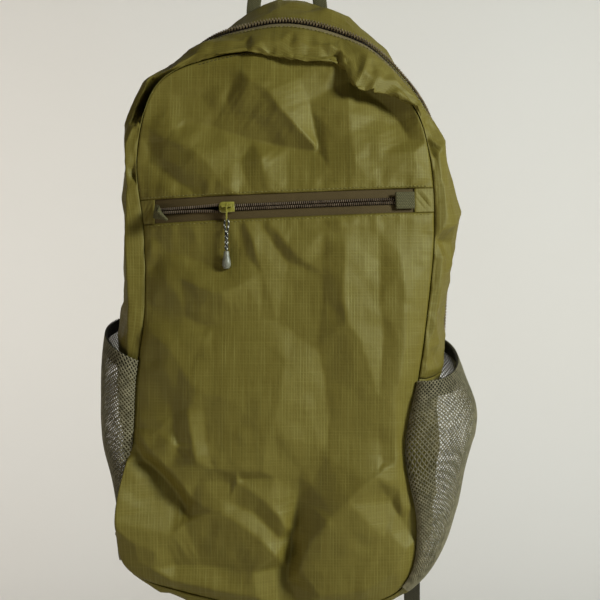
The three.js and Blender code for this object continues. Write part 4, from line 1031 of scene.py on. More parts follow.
def patchGrid(left, right, low, high):  # between four edges, left and right upwards, low and high rightwards
    up = np.linspace(0, 1, len(left))[:, None, None]
    over = np.linspace(0, 1, len(low))[None, :, None]
    grid = low[None] * (1 - up) + high[None] * up + left[:, None] * (1 - over) + right[:, None] * over
    grid = grid - low[0] * (1 - over) * (1 - up) - low[-1] * over * (1 - up)
    return grid - high[0] * (1 - over) * up - high[-1] * over * up


def seamRun(first, last, count, seam="front"):
    return evenRun(panelEdge(np.linspace(first, last, 400), seam), count)


def zipLine(offset, count):
    start, end = (panelEdge(np.array(atZip(side, offset))) for side in ("left", "right"))
    return start + (end - start) * np.linspace(0, 1, count)[:, None]


frontCut = {
    "rows": {"upper": 90, "lower": 190},
    "columns": 190,
    "zipGap": 0.05,
    "creaseStep": 5.0,
    "outlineStep": 3,
    "relief": {"upper": 1.7, "lower": 1.5},
    "reliefBlur": 2,
    "facets": [(3, 30.0, 0.9), (8, 11.0, 0.75)],  # seed, size, amount
    "fineBlur": 5,
    "fineFrom": 6,  # how soon the crumple comes in from the seams
    "calm": {"share": 0.6, "x": 10, "z": -320, "wide": 70, "high": 55},  # less crumple in the middle
    "seamPucker": {"rise": 0.9, "size": 12, "reach": 7},
    "zipPucker": {"rise": 1.0, "size": 15, "seed": 31, "reach": 12, "from": (0, 4)},
    "offZip": (0, 8),
    "seamRoll": (0.5, 1.0),  # depth and reach
    "hemRoll": (0.9, 0.8),
    "span": ((-140.0, 140.0), (-520.0, -60.0)),
}
overhang = {  # slack over the left seam, low down
    "from": -372.0,
    "to": -486.0,
    "reach": 8.0,
    "in": 7.0,
    "fullness": 0.7,
    "peak": 2.72,  # brings the greatest reach to one
    "forward": 0.8,
}


def frontGrid(name, edges):
    grid = patchGrid(*edges)
    x, z = grid[..., 0], grid[..., 2]
    depth = frontDepth(x, z) - frontRelief(name, x, z, edges)
    share = np.clip((z - overhang["from"]) / (overhang["to"] - overhang["from"]), 0, 1)
    away = panelShape("front", x, z)[3]["left"] / overhang["in"]
    aside = overhang["reach"] * np.sin(math.pi * share) ** overhang["fullness"]
    aside = aside * overhang["peak"] * np.maximum(away, 0) * np.exp(-away)
    return np.stack([x - aside, depth - overhang["forward"] * aside, z], -1)


sheets = []
frontCloth = {}
# What folds and edges add to each flat size, across and along
allowances = {"panel": (1.03, 1.03), "gusset": (1.05, 1.05), "lower": (1.1, 1.05), "net": (1, 1)}


def noteSheet(piece, size, area, kind, under, held="hung"):
    flat = tuple(float(side) * more for side, more in zip(size, allowances[kind]))
    sheets.append({"piece": piece, "flat": flat, "area": area, "held": held, "under": under})


def panelPiece(name, node, grid, under):
    piece, area = clothPiece(name, grid, grid[..., [0, 2]] * mm, [node])
    size = np.ptp(grid.reshape(-1, 3), axis=0) * mm
    noteSheet(piece, size[[0, 2]], area, "panel", under)


def stripPiece(name, node, grid, rows, reach, kind, under):
    along = runLength(stripSurface(rows, 0.5, lively=False)[0])[:, None]
    uv = np.stack(np.broadcast_arrays(runLength(grid), along), -1) * mm
    piece, area = clothPiece(name, grid, uv, [node])
    noteSheet(piece, (reach.max() * mm, along.max() * mm), area, kind, under)


def onCloth(name, x, z):  # the cloth's own depth at each place
    grid = frontCloth[name].reshape(-1, 3)
    nearest = [np.argmin((grid[:, 0] - a) ** 2 + (grid[:, 2] - b) ** 2) for a, b in zip(x, z)]
    return np.stack([x, grid[nearest, 1], z], -1)


def buildFront():
    edge = pocketZip["window"] + frontCut["zipGap"]
    columns = frontCut["columns"]
    upper = (
        seamRun(atZip("left", edge), leftArch, frontCut["rows"]["upper"]),
        seamRun(atZip("right", edge), rightArch, frontCut["rows"]["upper"]),
        zipLine(edge, columns),
        seamRun(leftArch, rightArch, columns),
    )
    lower = (
        seamRun(leftCorner, atZip("left", -edge), frontCut["rows"]["lower"]),
        seamRun(rightCorner, atZip("right", -edge), frontCut["rows"]["lower"]),
        seamRun(leftCorner, rightCorner + stationCount, columns),
        zipLine(-edge, columns),
    )
    for name, edges in (("upper", upper), ("lower", lower)):
        frontCloth[name] = frontGrid(name, edges)
        panelPiece("front_cloth_" + name, "front_panel_" + name, frontCloth[name], "gusset_cloth_front")


stripGap = 0.004  # in stations, at each end of a strip
gussetCut = {
    "rows": 401,
    "columns": 45,
    "seamRoll": (0.5, 1.1),  # depth and reach
    "hemRoll": (0.8, 0.9),
    "seamPucker": {"rise": 0.6, "size": 12, "seed": 41, "reach": 7, "from": (0, 3)},
    "hemPucker": {"rise": 0.4, "size": 18, "seed": 42, "reach": 10, "from": (0, 3)},
}


def gussetEdge(rows, way, edge):  # along the zip's window, and closed beyond its ends
    inside = np.minimum(rows - mainZip["from"], mainZip["to"] - rows)
    window = smoothStep(inside, -mainZip["closing"], 0)
    return behindZip(rows, way * (mainZip["gap"] + (edge - mainZip["gap"]) * window))


def buildGussets():
    rows = np.linspace(rightMouth + stripGap, leftMouth - stripGap, gussetCut["rows"])
    shares = np.linspace(0, 1, gussetCut["columns"])
    run = runLength(seamPoint(rows))[:, None]
    frontEnd = gussetEdge(rows, -1, mainZip["frontEdge"])
    backStart = gussetEdge(rows, 1, mainZip["backEdge"])
    for name, start, end in (("front", np.zeros_like(rows), frontEnd), ("back", backStart, np.ones_like(rows))):
        across = start[:, None] + (end - start)[:, None] * shares
        grid, facing = stripSurface(rows[:, None], across)
        reach = np.linalg.norm(grid[:, -1] - grid[:, 0], axis=-1)[:, None]
        fromSeam = (across if name == "front" else 1 - across) * reach
        fromHem = (1 - shares if name == "front" else shares) * reach
        roll = rolled(fromSeam, gussetCut["seamRoll"]) + rolled(fromHem, gussetCut["hemRoll"])
        pucker = ripple(run, fromSeam, gussetCut["seamPucker"]) + ripple(run, fromHem, gussetCut["hemPucker"])
        grid = grid + facing * (pucker - roll)[..., None]
        stripPiece("gusset_cloth_" + name, "gusset_" + name, grid, rows, reach, "gusset", "haul_loop_webbing")


lowerCut = {"columns": 60, "frontRoll": (0.8, 1.3), "backRoll": (1.2, 1.6)}


def buildLowerStrips():
    spans = [
        ("bottom_cloth", "bottom_panel", leftCorner - stationCount, rightCorner, 150),
        ("side_cloth_right", "side_panel_right", rightCorner, rightMouth, 100),
        ("side_cloth_left", "side_panel_left", leftMouth, leftCorner, 100),
    ]
    shares = np.linspace(0, 1, lowerCut["columns"])
    for name, node, start, end, count in spans:
        rows = np.linspace(start + stripGap, end - stripGap, count)
        grid, facing = stripSurface(rows[:, None], shares[None])
        reach = np.linalg.norm(grid[:, -1] - grid[:, 0], axis=-1)[:, None]
        roll = rolled(shares * reach, lowerCut["frontRoll"])
        roll = roll + rolled((1 - shares) * reach, lowerCut["backRoll"])
        stripPiece(name, node, grid - facing * roll[..., None], rows, reach, "lower", "front_cloth_lower")


backCut = {
    "rows": 120,
    "columns": 90,
    "facets": (14, 34.0, 0.9),  # seed, size, amount
    "blur": 3,
    "fineFrom": 3,
    "seamRoll": (1.5, 1.6),
}


def buildBack():
    edges = (
        seamRun(leftCorner, leftArch, backCut["rows"], "back"),
        seamRun(rightCorner, rightArch, backCut["rows"], "back"),
        seamRun(leftCorner, rightCorner + stationCount, backCut["columns"], "back"),
        seamRun(leftArch, rightArch, backCut["columns"], "back"),
    )
    grid = patchGrid(*edges)
    x, z = grid[..., 0], grid[..., 2]
    _, dome, _, toSeam = panelShape("back", x, z)
    nearest = np.maximum(np.minimum.reduce(list(toSeam.values())), 0)
    fine = blurred(crumple(x, z, *backCut["facets"], frontCut["span"]), backCut["blur"])
    fine = fine * np.minimum(1, backCut["fineFrom"] * dome)
    depth = backDepth(x, z) + fine - rolled(nearest, backCut["seamRoll"])
    panelPiece("back_cloth", "back_panel", np.stack([x, depth, z], -1), "haul_loop_webbing")


buildFront()
buildGussets()
buildLowerStrips()
buildBack()
print("cloth panels made:", [row["piece"].name for row in sheets])

# The net pockets: strands along both diagonals of a grid on the pocket's surface
netCut = {
    "pitch": 3.3,
    "strand": 1.2,
    "flat": 0.5,
    "base": 2.15,  # off the cloth
    "snug": (0.25, 0.1, 0.4),  # share less at the bottom, and where that ends
    "over": 0.6,
    "roundness": 0.8,
    "rear": (0.25, 0.55, 0.7),  # strands thinner by this share between these shares across
    "lip": (0.6, 0.72, 0.85),  # and heavier again there, between these shares up
    "bindingDeep": 0.22,
    "bindingWide": 14,
    "bindingThick": 1.3,
}
netPockets = [
    {
        "side": "right",
        "bottom": 1.75,
        "front": 4.96,
        "back": 5.36,
        "bulge": (0, 6.5, 11, 14, 19.5, 26.5, 29.5, 28, 16, 6),
    },
    {
        "side": "left",
        "bottom": 19.7,
        "front": 16.72,
        "back": 16.24,
        "bulge": (0, 0, 0.5, 6, 12.5, 13, 11, 9.5, 8.5, 7),
    },
]


def pocketSurface(pocket, station, across):
    point, facing = stripSurface(station, across, lively=False)
    share = np.clip((station - pocket["bottom"]) / (pocket["back"] - pocket["bottom"]), 0, 1)
    values = curveThrough(np.stack([np.arange(len(pocket["bulge"])), pocket["bulge"]], -1), 300)
    bulge = np.interp(share * (len(pocket["bulge"]) - 1), values[:, 0], values[:, 1])
    bulge = bulge * np.clip(np.sin(math.pi * across), 0, 1) ** netCut["roundness"]
    less, *until = netCut["snug"]
    base = netCut["base"] * (1 - less + less * smoothStep(share, *until))
    return point + facing * (base + bulge)[..., None], facing


def evenShares(points, count):  # shares along a line of points that are evenly spaced on it
    length = runLength(points)
    return np.interp(np.linspace(0, length[-1], count), length, np.linspace(0, 1, len(points)))


def strandMesh(name, starts, ends, facings, width, flat):
    along = unit(ends - starts)
    side = unit(np.cross(facings, along)) * width[:, None] / 2
    over = facings * flat / 2
    around = [side, over, -side, -over]
    points = np.stack([starts + a for a in around] + [ends + a for a in around], 1)
    faces = np.array([[k, (k + 1) % 4, (k + 1) % 4 + 4, k + 4] for k in range(4)])
    quads = (np.arange(len(starts)) * 8)[:, None, None] + faces[None]
    return quadMesh(name, points.reshape(-1, 3), quads.reshape(-1, 4))


def buildPocket(pocket):
    way = math.copysign(1, pocket["back"] - pocket["bottom"])
    side = pocket["side"]

    def mouth(across):
        return pocket["front"] + (pocket["back"] - pocket["front"]) * across

    def netPoint(up, across):
        station = pocket["bottom"] + (mouth(across) - pocket["bottom"]) * up
        point, facing = pocketSurface(pocket, station, across)
        return point + facing * netCut["over"], facing

    line = np.linspace(0, 1, 200)
    tall, _ = netPoint(line, np.full(200, 0.5))
    wide, _ = netPoint(np.full(200, 0.6), line)
    rows = 2 * int(runLength(tall)[-1] / netCut["pitch"]) + 1
    columns = 2 * int(runLength(wide)[-1] / netCut["pitch"]) + 1
    up, across = np.meshgrid(evenShares(tall, rows), evenShares(wide, columns), indexing="ij")
    grid, facing = netPoint(up, across)
    i, j = np.meshgrid(np.arange(rows - 1), np.arange(columns), indexing="ij")
    (thinner, *rearAt), (heavier, *lipAt) = netCut["rear"], netCut["lip"]
    rear = smoothStep(across, *rearAt)
    heavy = 1 - thinner * rear + heavier * rear * smoothStep(up, *lipAt)
    strands = []
    for step in (1, -1):
        there = (j + step >= 0) & (j + step < columns) & ((i + j) % 2 == 0)
        a, b = i[there], j[there]
        strands.append((grid[a, b], grid[a + 1, b + step], facing[a, b], heavy[a, b] * netCut["strand"]))
    mesh = strandMesh("net_" + side, *(np.concatenate(each) for each in zip(*strands)), netCut["flat"])
    net = newPiece("net_cloth_" + side, mesh, netThread, ["net_pocket_" + side])
    size = runLength(wide)[-1] * mm, runLength(tall)[-1] * mm
    noteSheet(net, size, None, "net", "side_cloth_" + side, "gathered")

    lanes = np.linspace(0, 1, 9)
    up, across = np.meshgrid(lanes, np.linspace(0, 1, 150), indexing="ij")
    band, _ = pocketSurface(pocket, mouth(across) - way * netCut["bindingDeep"] * (1 - up), across)
    uv = np.stack(np.broadcast_arrays(runLength(band), lanes[:, None] * netCut["bindingWide"]), -1) * mm
    name, tapes = "binding_" + side, [bindingOuter, bindingTape]
    binding = newPiece(name, gridMesh(name, band, uv), tapes, ["pocket_binding_" + side])
    wall = thicken(binding, netCut["bindingThick"])
    wall.material_offset = 1
    wall.material_offset_rim = 0


for pocketRow in netPockets:
    buildPocket(pocketRow)
print("net pockets made")


# Zips
coilTurn = [(0.0, 0.5), (0.12, 0.9), (0.5, 0.85), (0.84, 1.0), (1.0, 0.55)]  # share across the zip, radius
coilSquash = 0.55  # along the zip
ringSides = 6


def repeatRings(name, copies, rings):  # copies of one stack of rings, each with both ends closed
    index = np.arange(rings * ringSides).reshape(rings, ringSides)
    caps = []
    for ring in (index[0][::-1], index[-1]):
        caps += [[ring[k], ring[k + 1], ring[-2 - k], ring[-1 - k]] for k in range(ringSides // 2 - 1)]
    faces = np.concatenate([ringQuads(rings, ringSides), np.array(caps)])
    quads = (np.arange(len(copies)) * rings * ringSides)[:, None, None] + faces[None]
    return quadMesh(name, copies.reshape(-1, 3), quads.reshape(-1, 4))


def coilMesh(name, roots, tips, facing, along, radius):  # a turn of coil from each root to its tip
    angle = turnAngles(ringSides)
    shape = np.array([(x, r * math.cos(a), r * math.sin(a)) for x, r in coilTurn for a in angle])
    x = (tips - roots)[:, None] * shape[None, :, :1]
    y = unit(along)[:, None] * shape[None, :, 1:2] * radius * coilSquash
    z = facing[:, None] * shape[None, :, 2:] * radius
    return repeatRings(name, roots[:, None] + x + y + z, len(coilTurn))


def frontFacing(x, z):
    step = 2.0
    slopeX = (frontDepth(x + step, z) - frontDepth(x - step, z)) / (2 * step)
    slopeZ = (frontDepth(x, z + step) - frontDepth(x, z - step)) / (2 * step)
    return unit(np.stack([slopeX, -np.ones_like(x), slopeZ], -1))


def onFront(x, z, inwards=0.0):
    return np.stack([x, frontDepth(x, z), z], -1) - frontFacing(x, z) * np.asarray(inwards)[..., None]


def pocketParting(x):
    nose = pocketZip["sliderNose"]
    share = np.clip((x - pocketZip["left"]) / (pocketZip["sliderX"] - nose - pocketZip["left"]), 0, 1)
    meeting = np.clip((pocketZip["sliderX"] + nose - x) / nose, 0, 1)
    return pocketZip["gap"] + pocketZip["parting"] * share**3 * meeting


def buildPocketZip():
    start, end, tuck, depth = (pocketZip[key] for key in ("left", "right", "tuck", "tapeDepth"))
    for name, way in (("upper", 1), ("lower", -1)):
        x = np.linspace(start - tuck, end + tuck, 160)[:, None]
        parting = pocketParting(x)
        away = parting + (pocketZip["window"] + tuck - parting) * np.linspace(0, 1, 10)
        x = np.broadcast_to(x, away.shape)
        grid = onFront(x, zipHeight(x) + way * away, depth)
        uv = np.stack([away, x], -1) * mm
        clothPiece("pocket_zip_tape_" + name, grid, uv, ["pocket_zip_" + name], tapeThick, zipTape)
        shift = 0.5 * pocketZip["tooth"] if way > 0 else 0
        teeth = np.arange(start + 1, end - 1, pocketZip["tooth"]) + shift
        z = zipHeight(teeth)
        parting = pocketParting(teeth)
        short = np.where(parting > pocketZip["closed"], 0.0, pocketZip["coilShort"])
        inwards = depth - pocketZip["coilRise"]
        roots = onFront(teeth, z + way * (parting + pocketZip["coilHalf"]), inwards)
        tips = onFront(teeth, z + way * (parting + short), inwards)
        along = way * np.broadcast_to([1.0, 0.0, pocketZip["climb"]], roots.shape)  # keeps faces outwards
        mesh = coilMesh("coil", roots, tips, frontFacing(teeth, z), along, pocketZip["coilThick"])
        newPiece("pocket_zip_coil_" + name, mesh, coilNylon)


def buildMainZip():
    rows = np.linspace(mainZip["from"] - mainZip["closing"], mainZip["to"] + mainZip["closing"], 420)
    length = runLength(onMainZip(rows, 0.0)[0])
    count = int(length[-1] / mainZip["tooth"])
    for name, way, edge in (("front", -1, mainZip["frontEdge"]), ("back", 1, mainZip["backEdge"])):
        lanes = np.linspace(mainZip["gap"], edge + mainZip["tuck"], 9)
        grid, facing = onMainZip(rows[:, None], way * lanes[None])
        grid = grid - facing * mainZip["tapeDepth"]
        uv = np.stack(np.broadcast_arrays(lanes[None], runLength(grid[:, 0])[:, None]), -1) * mm
        clothPiece("main_zip_tape_" + name, grid, uv, ["main_zip_" + name], tapeThick, topTape)
        shift = 0.5 if way > 0 else 0.0
        station = np.interp((np.arange(count) + shift) * mainZip["tooth"], length, rows)
        roots, turned = onMainZip(station, way * mainZip["coilHalf"])
        tips, _ = onMainZip(station, way * mainZip["coilTip"])
        along = way * (onMainZip(station, 0.0)[0] - onMainZip(station, 0.0, 0.01)[0])  # keeps faces outwards
        lift = turned * mainZip["coilLift"]
        mesh = coilMesh("coil", roots + lift, tips + lift, turned, along, mainZip["coilThick"])
        newPiece("main_zip_coil_" + name, mesh, topCoilNylon)


buildPocketZip()
buildMainZip()
print("zips made")


# The cloth at the ends of the pocket zip, with creases from corner to corner
endFolds = [  # rise, place, reach, crispness
    (0.6, 0.3, 0.16, 0.6),
    (-0.8, 0.0, 0.12, 0.8),
    (-0.6, -0.35, 0.12, 0.8),
]
endPatch = {"count": 40, "hemRoll": (0.5, 0.8), "sunk": 0.25}


def crease(distance, crisp):  # a bell, or a tent with a rounded ridge
    tent = np.exp(-1.6 * (np.sqrt(distance**2 + 0.01) - 0.1))
    return bell(distance, 1.0) * (1 - crisp) + tent * crisp


def buildEndPatches():
    edge, count = pocketZip["window"], endPatch["count"]
    share = np.linspace(0, 1, count)
    over, up = np.meshgrid(share, share)
    held = np.sin(math.pi * over) * np.sin(math.pi * up)
    for side, slant in (("left", over - up), ("right", over + up - 1)):
        inner = pocketZip[side]
        seam = seamRun(atZip(side, -edge), atZip(side, edge), count)
        heights = zipHeight(inner) + np.linspace(-edge, edge, count)
        inside = np.stack([np.full(count, inner), np.zeros(count), heights], -1)
        left, right = (seam, inside) if side == "left" else (inside, seam)
        low, high = (left[k] + (right[k] - left[k]) * share[:, None] for k in (0, -1))
        grid = patchGrid(left, right, low, high)
        x, z = grid[..., 0], grid[..., 2]
        folds = sum(rise * crease((slant - at) / reach, crisp) for rise, at, reach, crisp in endFolds)
        depth = frontDepth(x, z) - folds * held + rolled(x - inner, endPatch["hemRoll"]) + endPatch["sunk"]
        grid = np.stack([x, depth, z], -1)
        clothPiece("zip_end_cloth_" + side, grid, grid[..., [0, 2]] * mm, ["zip_end_patch_" + side])


buildEndPatches()

# Stitches: short threads along a line on the cloth
stitch = {
    "long": 2.1,
    "gap": 0.9,
    "thick": 0.6,
    "inset": 1.7,  # from the cloth's edge at the pocket zip, at the main zip and at the top seam
    "mainInset": 1.6,
    "topInset": 2.2,
    "top": (11.1, 12.2),
}
stitchRings = [(0.0, 0.4, -0.5), (0.18, 1.0, 0.3), (0.82, 1.0, 0.3), (1.0, 0.4, -0.5)]  # share, radius, lift


def stitchPiece(name, line, facing, material):
    length = runLength(line)
    long, step, half = stitch["long"], stitch["long"] + stitch["gap"], stitch["thick"] / 2
    starts = np.arange(int(length[-1] / step)) * step + stitch["gap"] / 2
    along = unit(placesAlong(line, length, starts + long) - placesAlong(line, length, starts))
    over = unit(placesAlong(facing, length, starts + long / 2))
    side = np.cross(over, along)
    points = []
    for share, radius, lift in stitchRings:
        middle = placesAlong(line, length, starts + share * long) + over * lift * half
        for a in turnAngles(ringSides):
            points.append(middle + (side * math.cos(a) + over * math.sin(a)) * radius * half)
    newPiece(name, repeatRings("stitches", np.stack(points, 1), len(stitchRings)), material)


def buildStitches():
    for name, cloth, way in (("above", "upper", 1), ("below", "lower", -1)):
        ends = zipLine(way * (pocketZip["window"] + stitch["inset"]), 240)
        x, z = ends[2:-2, 0], ends[2:-2, 2]
        stitchPiece("pocket_zip_stitches_" + name, onCloth(cloth, x, z), frontFacing(x, z), oliveThread)
    seam = panelEdge(np.linspace(*stitch["top"], 120), "front", stitch["topInset"])
    x, z = seam[:, 0], seam[:, 2]
    stitchPiece("seam_stitches_top", onCloth("upper", x, z), frontFacing(x, z), darkThread)
    rows = np.linspace(mainZip["from"], mainZip["to"], 900)
    for name, way, edge in (("front", -1, mainZip["frontEdge"]), ("back", 1, mainZip["backEdge"])):
        line, facing = stripSurface(rows, behindZip(rows, way * (edge + stitch["mainInset"])))
        stitchPiece("main_zip_stitches_" + name, line, facing, oliveThread)


buildStitches()
print("stitches made")


# Webbing
clearance = 0.35  # between cloth and what lies on it, and inside a fold


def ribbonMesh(name, path, across, width, thick):
    along = unit(np.gradient(path, axis=0))
    across = unit(across - along * (across * along).sum(-1, keepdims=True))
    over = np.cross(along, across)
    angle = turnAngles(16)
    wide = squared(np.cos(angle), 0.35) * width / 2
    high = squared(np.sin(angle), 0.7) * thick / 2
    rings = path[:, None] + across[:, None] * wide[None, :, None] + over[:, None] * high[None, :, None]
    return loopMesh(name, rings, runLength(path) * mm, np.append(wide, wide[0]) * mm)


haulLoop = {
    "rows": [(27, -60), (26.5, -46), (24, -32), (18, -17), (9, -4), (0, 0.6)],  # half the spread, height
    "width": 11.0,
    "thick": 1.2,
    "flatBelow": -44.0,
    "edgeAbove": -6.0,
}


def buildHaulLoop():
    rootZ = float(haulLoop["rows"][0][1])
    rootY = float(backDepth(np.array(0.0), np.array(rootZ))) + clearance + haulLoop["thick"] / 2
    right = [(half, rootY, z) for half, z in haulLoop["rows"]]
    path = curveThrough(right + [(-x, y, z) for x, y, z in right[-2::-1]], 140)
    turn = math.pi / 2 * smoothStep(path[:, 2], haulLoop["flatBelow"], haulLoop["edgeAbove"])
    across = np.stack([np.sign(path[:, 0]) * np.cos(turn), np.sin(turn), np.zeros_like(turn)], -1)
    mesh = ribbonMesh("haul_loop", path, across, haulLoop["width"], haulLoop["thick"])
    newPiece("haul_loop_webbing", mesh, loopWebbing, ["haul_loop"])


buildHaulLoop()

zipLoops = {
    "thick": 1.0,
    "proud": 0.18,
    "right": {"width": 12.0, "long": 13.0},
    "left": {"width": 10.0, "long": 7.0, "bendAt": 0.8, "bendDrop": 1.0, "drop": 4.0, "forward": 10.0},
}


def foldedLoop(name, root, bend, tip, rootAcross, tipAcross, width):
    thick = zipLoops["thick"]
    half = (thick + clearance) / 2
    share = np.linspace(0, 1, 16)[:, None]
    middle = (1 - share) ** 2 * root + 2 * share * (1 - share) * bend + share**2 * tip
    along = unit(np.gradient(middle, axis=0))
    across = rootAcross * (1 - share) + tipAcross * share
    across = unit(across - along * (across * along).sum(-1, keepdims=True))
    side = np.cross(along, across)
    angle = np.linspace(0, math.pi, 9)[1:-1, None]
    turn = middle[-1] + side[-1] * half * np.cos(angle) + along[-1] * half * np.sin(angle)
    path = np.concatenate([middle + side * half, turn, (middle - side * half)[::-1]])
    sides = np.concatenate([across, np.repeat(across[-1:], len(turn), 0), across[::-1]])
    mesh = ribbonMesh(name, path, sides, width, thick)
    newPiece(name + "_webbing", mesh, loopWebbing, [name])


def buildZipLoops():
    proud = clearance + zipLoops["thick"] + zipLoops["proud"]
    upwards = np.array([0.0, 0.0, 1.0])

    def onZip(x, forward=0.0, drop=0.0):
        z = zipHeight(x) - drop
        return np.array([x, float(frontDepth(np.array(x), np.array(z))) - (proud + forward), z])

    end, row = pocketZip["right"], zipLoops["right"]
    points = [onZip(end - away) for away in (clearance, row["long"] / 2, row["long"])]
    foldedLoop("zip_loop_right", *points, upwards, upwards, row["width"])
    end, row = pocketZip["left"], zipLoops["left"]
    bend = onZip(end + row["bendAt"] * row["long"], 0.0, row["bendDrop"])
    tip = onZip(end + row["long"], row["forward"], row["drop"])
    tipAcross = np.array([-0.707, 0.0, 0.707])
    foldedLoop("zip_loop_left", onZip(end + clearance), bend, tip, upwards, tipAcross, row["width"])


buildZipLoops()

# Shoulder straps behind the bag: padded above, webbing and a ladder lock below
straps = {
    "rows": [  # x, depth (None lies on the back), height, width
        (32, None, -72, 40),
        (33, None, -86, 42),
        (40, 14, -122, 47),
        (54, 26, -190, 52),
        (72, 31, -262, 52),
        (90, 26, -330, 42),
        (100.8, 16.6, -378, 26),
        (101.6, 16, -399, 24),
    ],
    "thick": 4.0,
    "webbing": 1.2,
    "tailWidth": 13.0,
    "tails": {"right": -545.0, "left": -505.0},
    "root": -447.0,
    "tabLong": 14.0,
}
strapPad = {
    "rings": 150,
    "sides": 48,
    "squareness": 0.6,
    "seam": (0.55, 0.78, 0.07),  # depth, place and reach of the line along each edge
    "rim": (0.5, 0.3),  # thickness left at the edge, and how far in it is full
    "ends": (0.3, 8),  # thickness left at the ends, and after how many rings it is full
    "full": 1.15,
    "pattern": 26,
}
ladderLock = {
    "x": 101.6,
    "y": 16.0,
    "z": -414.0,
    "wide": 24.0,
    "bar": 4.0,
    "slotHigh": 6.0,
    "slotWide": 15.0,
    "thick": 3.5,
    "turn": 3.0,  # radius of the webbing round a bar
    "lean": 0.8,
    "corner": 2.5,
    "edge": 0.45,
}


def onBack(x, z, thick, width):
    edges = [float(backDepth(np.array(x + e * width / 2), np.array(float(z)))) for e in (-1, 0, 1)]
    return max(edges) + clearance + thick / 2


def buildStrapPad(side, way):
    rows = []
    for x, y, z, width in straps["rows"]:
        rows.append((way * x, onBack(way * x, z, straps["thick"], width) if y is None else y, z, width))
    count = strapPad["rings"]
    spine = curveThrough(rows, count)
    across = np.array([1.0, 0.0, 0.0])
    along = unit(np.gradient(spine[:, :3], axis=0))
    over = unit(np.cross(along, np.broadcast_to(across, along.shape)))
    angle = turnAngles(strapPad["sides"])
    wide = squared(np.cos(angle), strapPad["squareness"])
    deep, place, reach = strapPad["seam"]
    high = np.sin(angle) * (1 - deep * bell(np.abs(wide) - place, reach))
    left, fullAt = strapPad["rim"]
    high = high * (left + (1 - left) * smoothStep(1 - np.abs(wide), 0.0, fullAt))
    left, fullAt = strapPad["ends"]
    ends = np.minimum(1, np.minimum(np.arange(count), np.arange(count)[::-1]) / fullAt * (1 - left) + left)
    half = straps["thick"] / 2 * strapPad["full"]
    rings = spine[:, None, :3] + across * (wide[None, :] * spine[:, 3:] / 2)[..., None]
    rings = rings + over[:, None] * (high * half * ends[:, None])[..., None]
    around = np.append(wide, wide[0]) * strapPad["pattern"]
    mesh = loopMesh("strap_pad", rings, runLength(spine[:, :3]) * mm, around * mm)
    pad = newPiece("strap_pad_cloth_" + side, mesh, oliveCloth, ["strap_pad_" + side])


def buildStrapWebbing(side, way):
    lock = ladderLock
    upperBar = lock["z"] + lock["bar"] + lock["slotHigh"]
    x = way * lock["x"]

    def turned(middle, up):
        radius, angles = lock["turn"], math.pi * (1 - np.linspace(0, 1, 15))
        return [(x, lock["y"] + radius * math.cos(a), middle + up * radius * math.sin(a)) for a in angles]

    def ribbon(name, points, node):
        path = evenRun(np.array(points), 160)
        across = np.broadcast_to([1.0, 0.0, 0.0], path.shape)
        mesh = ribbonMesh(name, path, across, straps["tailWidth"], straps["webbing"])
        newPiece(name, mesh, strapWebbing, [node])

    top = upperBar + straps["tabLong"]
    front, back = lock["y"] - lock["turn"], lock["y"] + lock["turn"]
    tab = [(x, front, top), *turned(upperBar - lock["lean"], -1), (x, back, top)]
    ribbon("strap_tab_webbing_" + side, tab, "strap_tab_" + side)
    root, tail = straps["root"], straps["tails"][side]
    rootY = onBack(x, root, straps["webbing"], straps["tailWidth"])
    rising = [(rootY, root), (rootY, root + 8), ((rootY + front) / 2, root + 14), (front, lock["z"] - 8)]
    falling = [(back, lock["z"] - 12), (back + 1, (lock["z"] + tail) / 2), (back, tail)]
    lower, hanging = ([(x, y, z) for y, z in line] for line in (rising, falling))
    path = [*curveThrough(lower, 24), *turned(lock["z"] + lock["lean"], 1), *curveThrough(hanging, 40)]
    ribbon("strap_tail_webbing_" + side, path, "strap_webbing_" + side)


# Hard pieces, shaped in edit mode
square = 0.9  # least part of a face's normal that points along an axis


def pick(piece, kind, test):  # selects verts, edges or faces whose middle passes a test
    bpy.ops.object.mode_set(mode="EDIT")
    bpy.ops.mesh.select_mode(type=kind)
    bpy.ops.mesh.select_all(action="DESELECT")
    bpy.ops.object.mode_set(mode="OBJECT")
    mesh = piece.data
    if kind == "VERT":
        for vert in mesh.vertices:
            vert.select = test(vert.co)
    elif kind == "EDGE":
        for edge in mesh.edges:
            a, b = (mesh.vertices[k].co for k in edge.vertices)
            edge.select = test(a, b)
    else:
        for face in mesh.polygons:
            face.select = test(face.center, face.normal)
    bpy.ops.object.mode_set(mode="EDIT")


def startBox(name, size, place=(0, 0, 0)):
    deselectAll()
    bpy.ops.mesh.primitive_cube_add(size=1, location=[v * mm for v in place])
    piece = bpy.context.object
    piece.name = name
    piece.scale = [v * mm for v in size]
    bpy.ops.object.transform_apply(location=True, rotation=True, scale=True)
    return piece


def roundEdges(piece, width, segments=2):
    bpy.ops.object.mode_set(mode="EDIT")
    bpy.ops.mesh.select_mode(type="EDGE")
    bpy.ops.mesh.select_all(action="DESELECT")
    bpy.ops.mesh.edges_select_sharp(sharpness=math.radians(35))
    bpy.ops.mesh.bevel(offset=width * mm, segments=segments, affect="EDGES")
    bpy.ops.object.mode_set(mode="OBJECT")


def joinPieces(*pieces):
    selectOnly(*pieces)
    bpy.ops.object.join()
    return pieces[0]


def seatPiece(piece, along=(1, 0, 0), inwards=(0, 1, 0), upwards=(0, 0, 1), place=(0, 0, 0)):
    turn = Matrix([[along[k], inwards[k], upwards[k], place[k] * mm] for k in range(3)] + [[0, 0, 0, 1]])
    piece.matrix_world = turn  # from its own axes to its seat
    selectOnly(piece)
    bpy.ops.object.transform_apply(location=True, rotation=True, scale=True)
    bpy.ops.object.shade_smooth_by_angle(angle=math.radians(40))


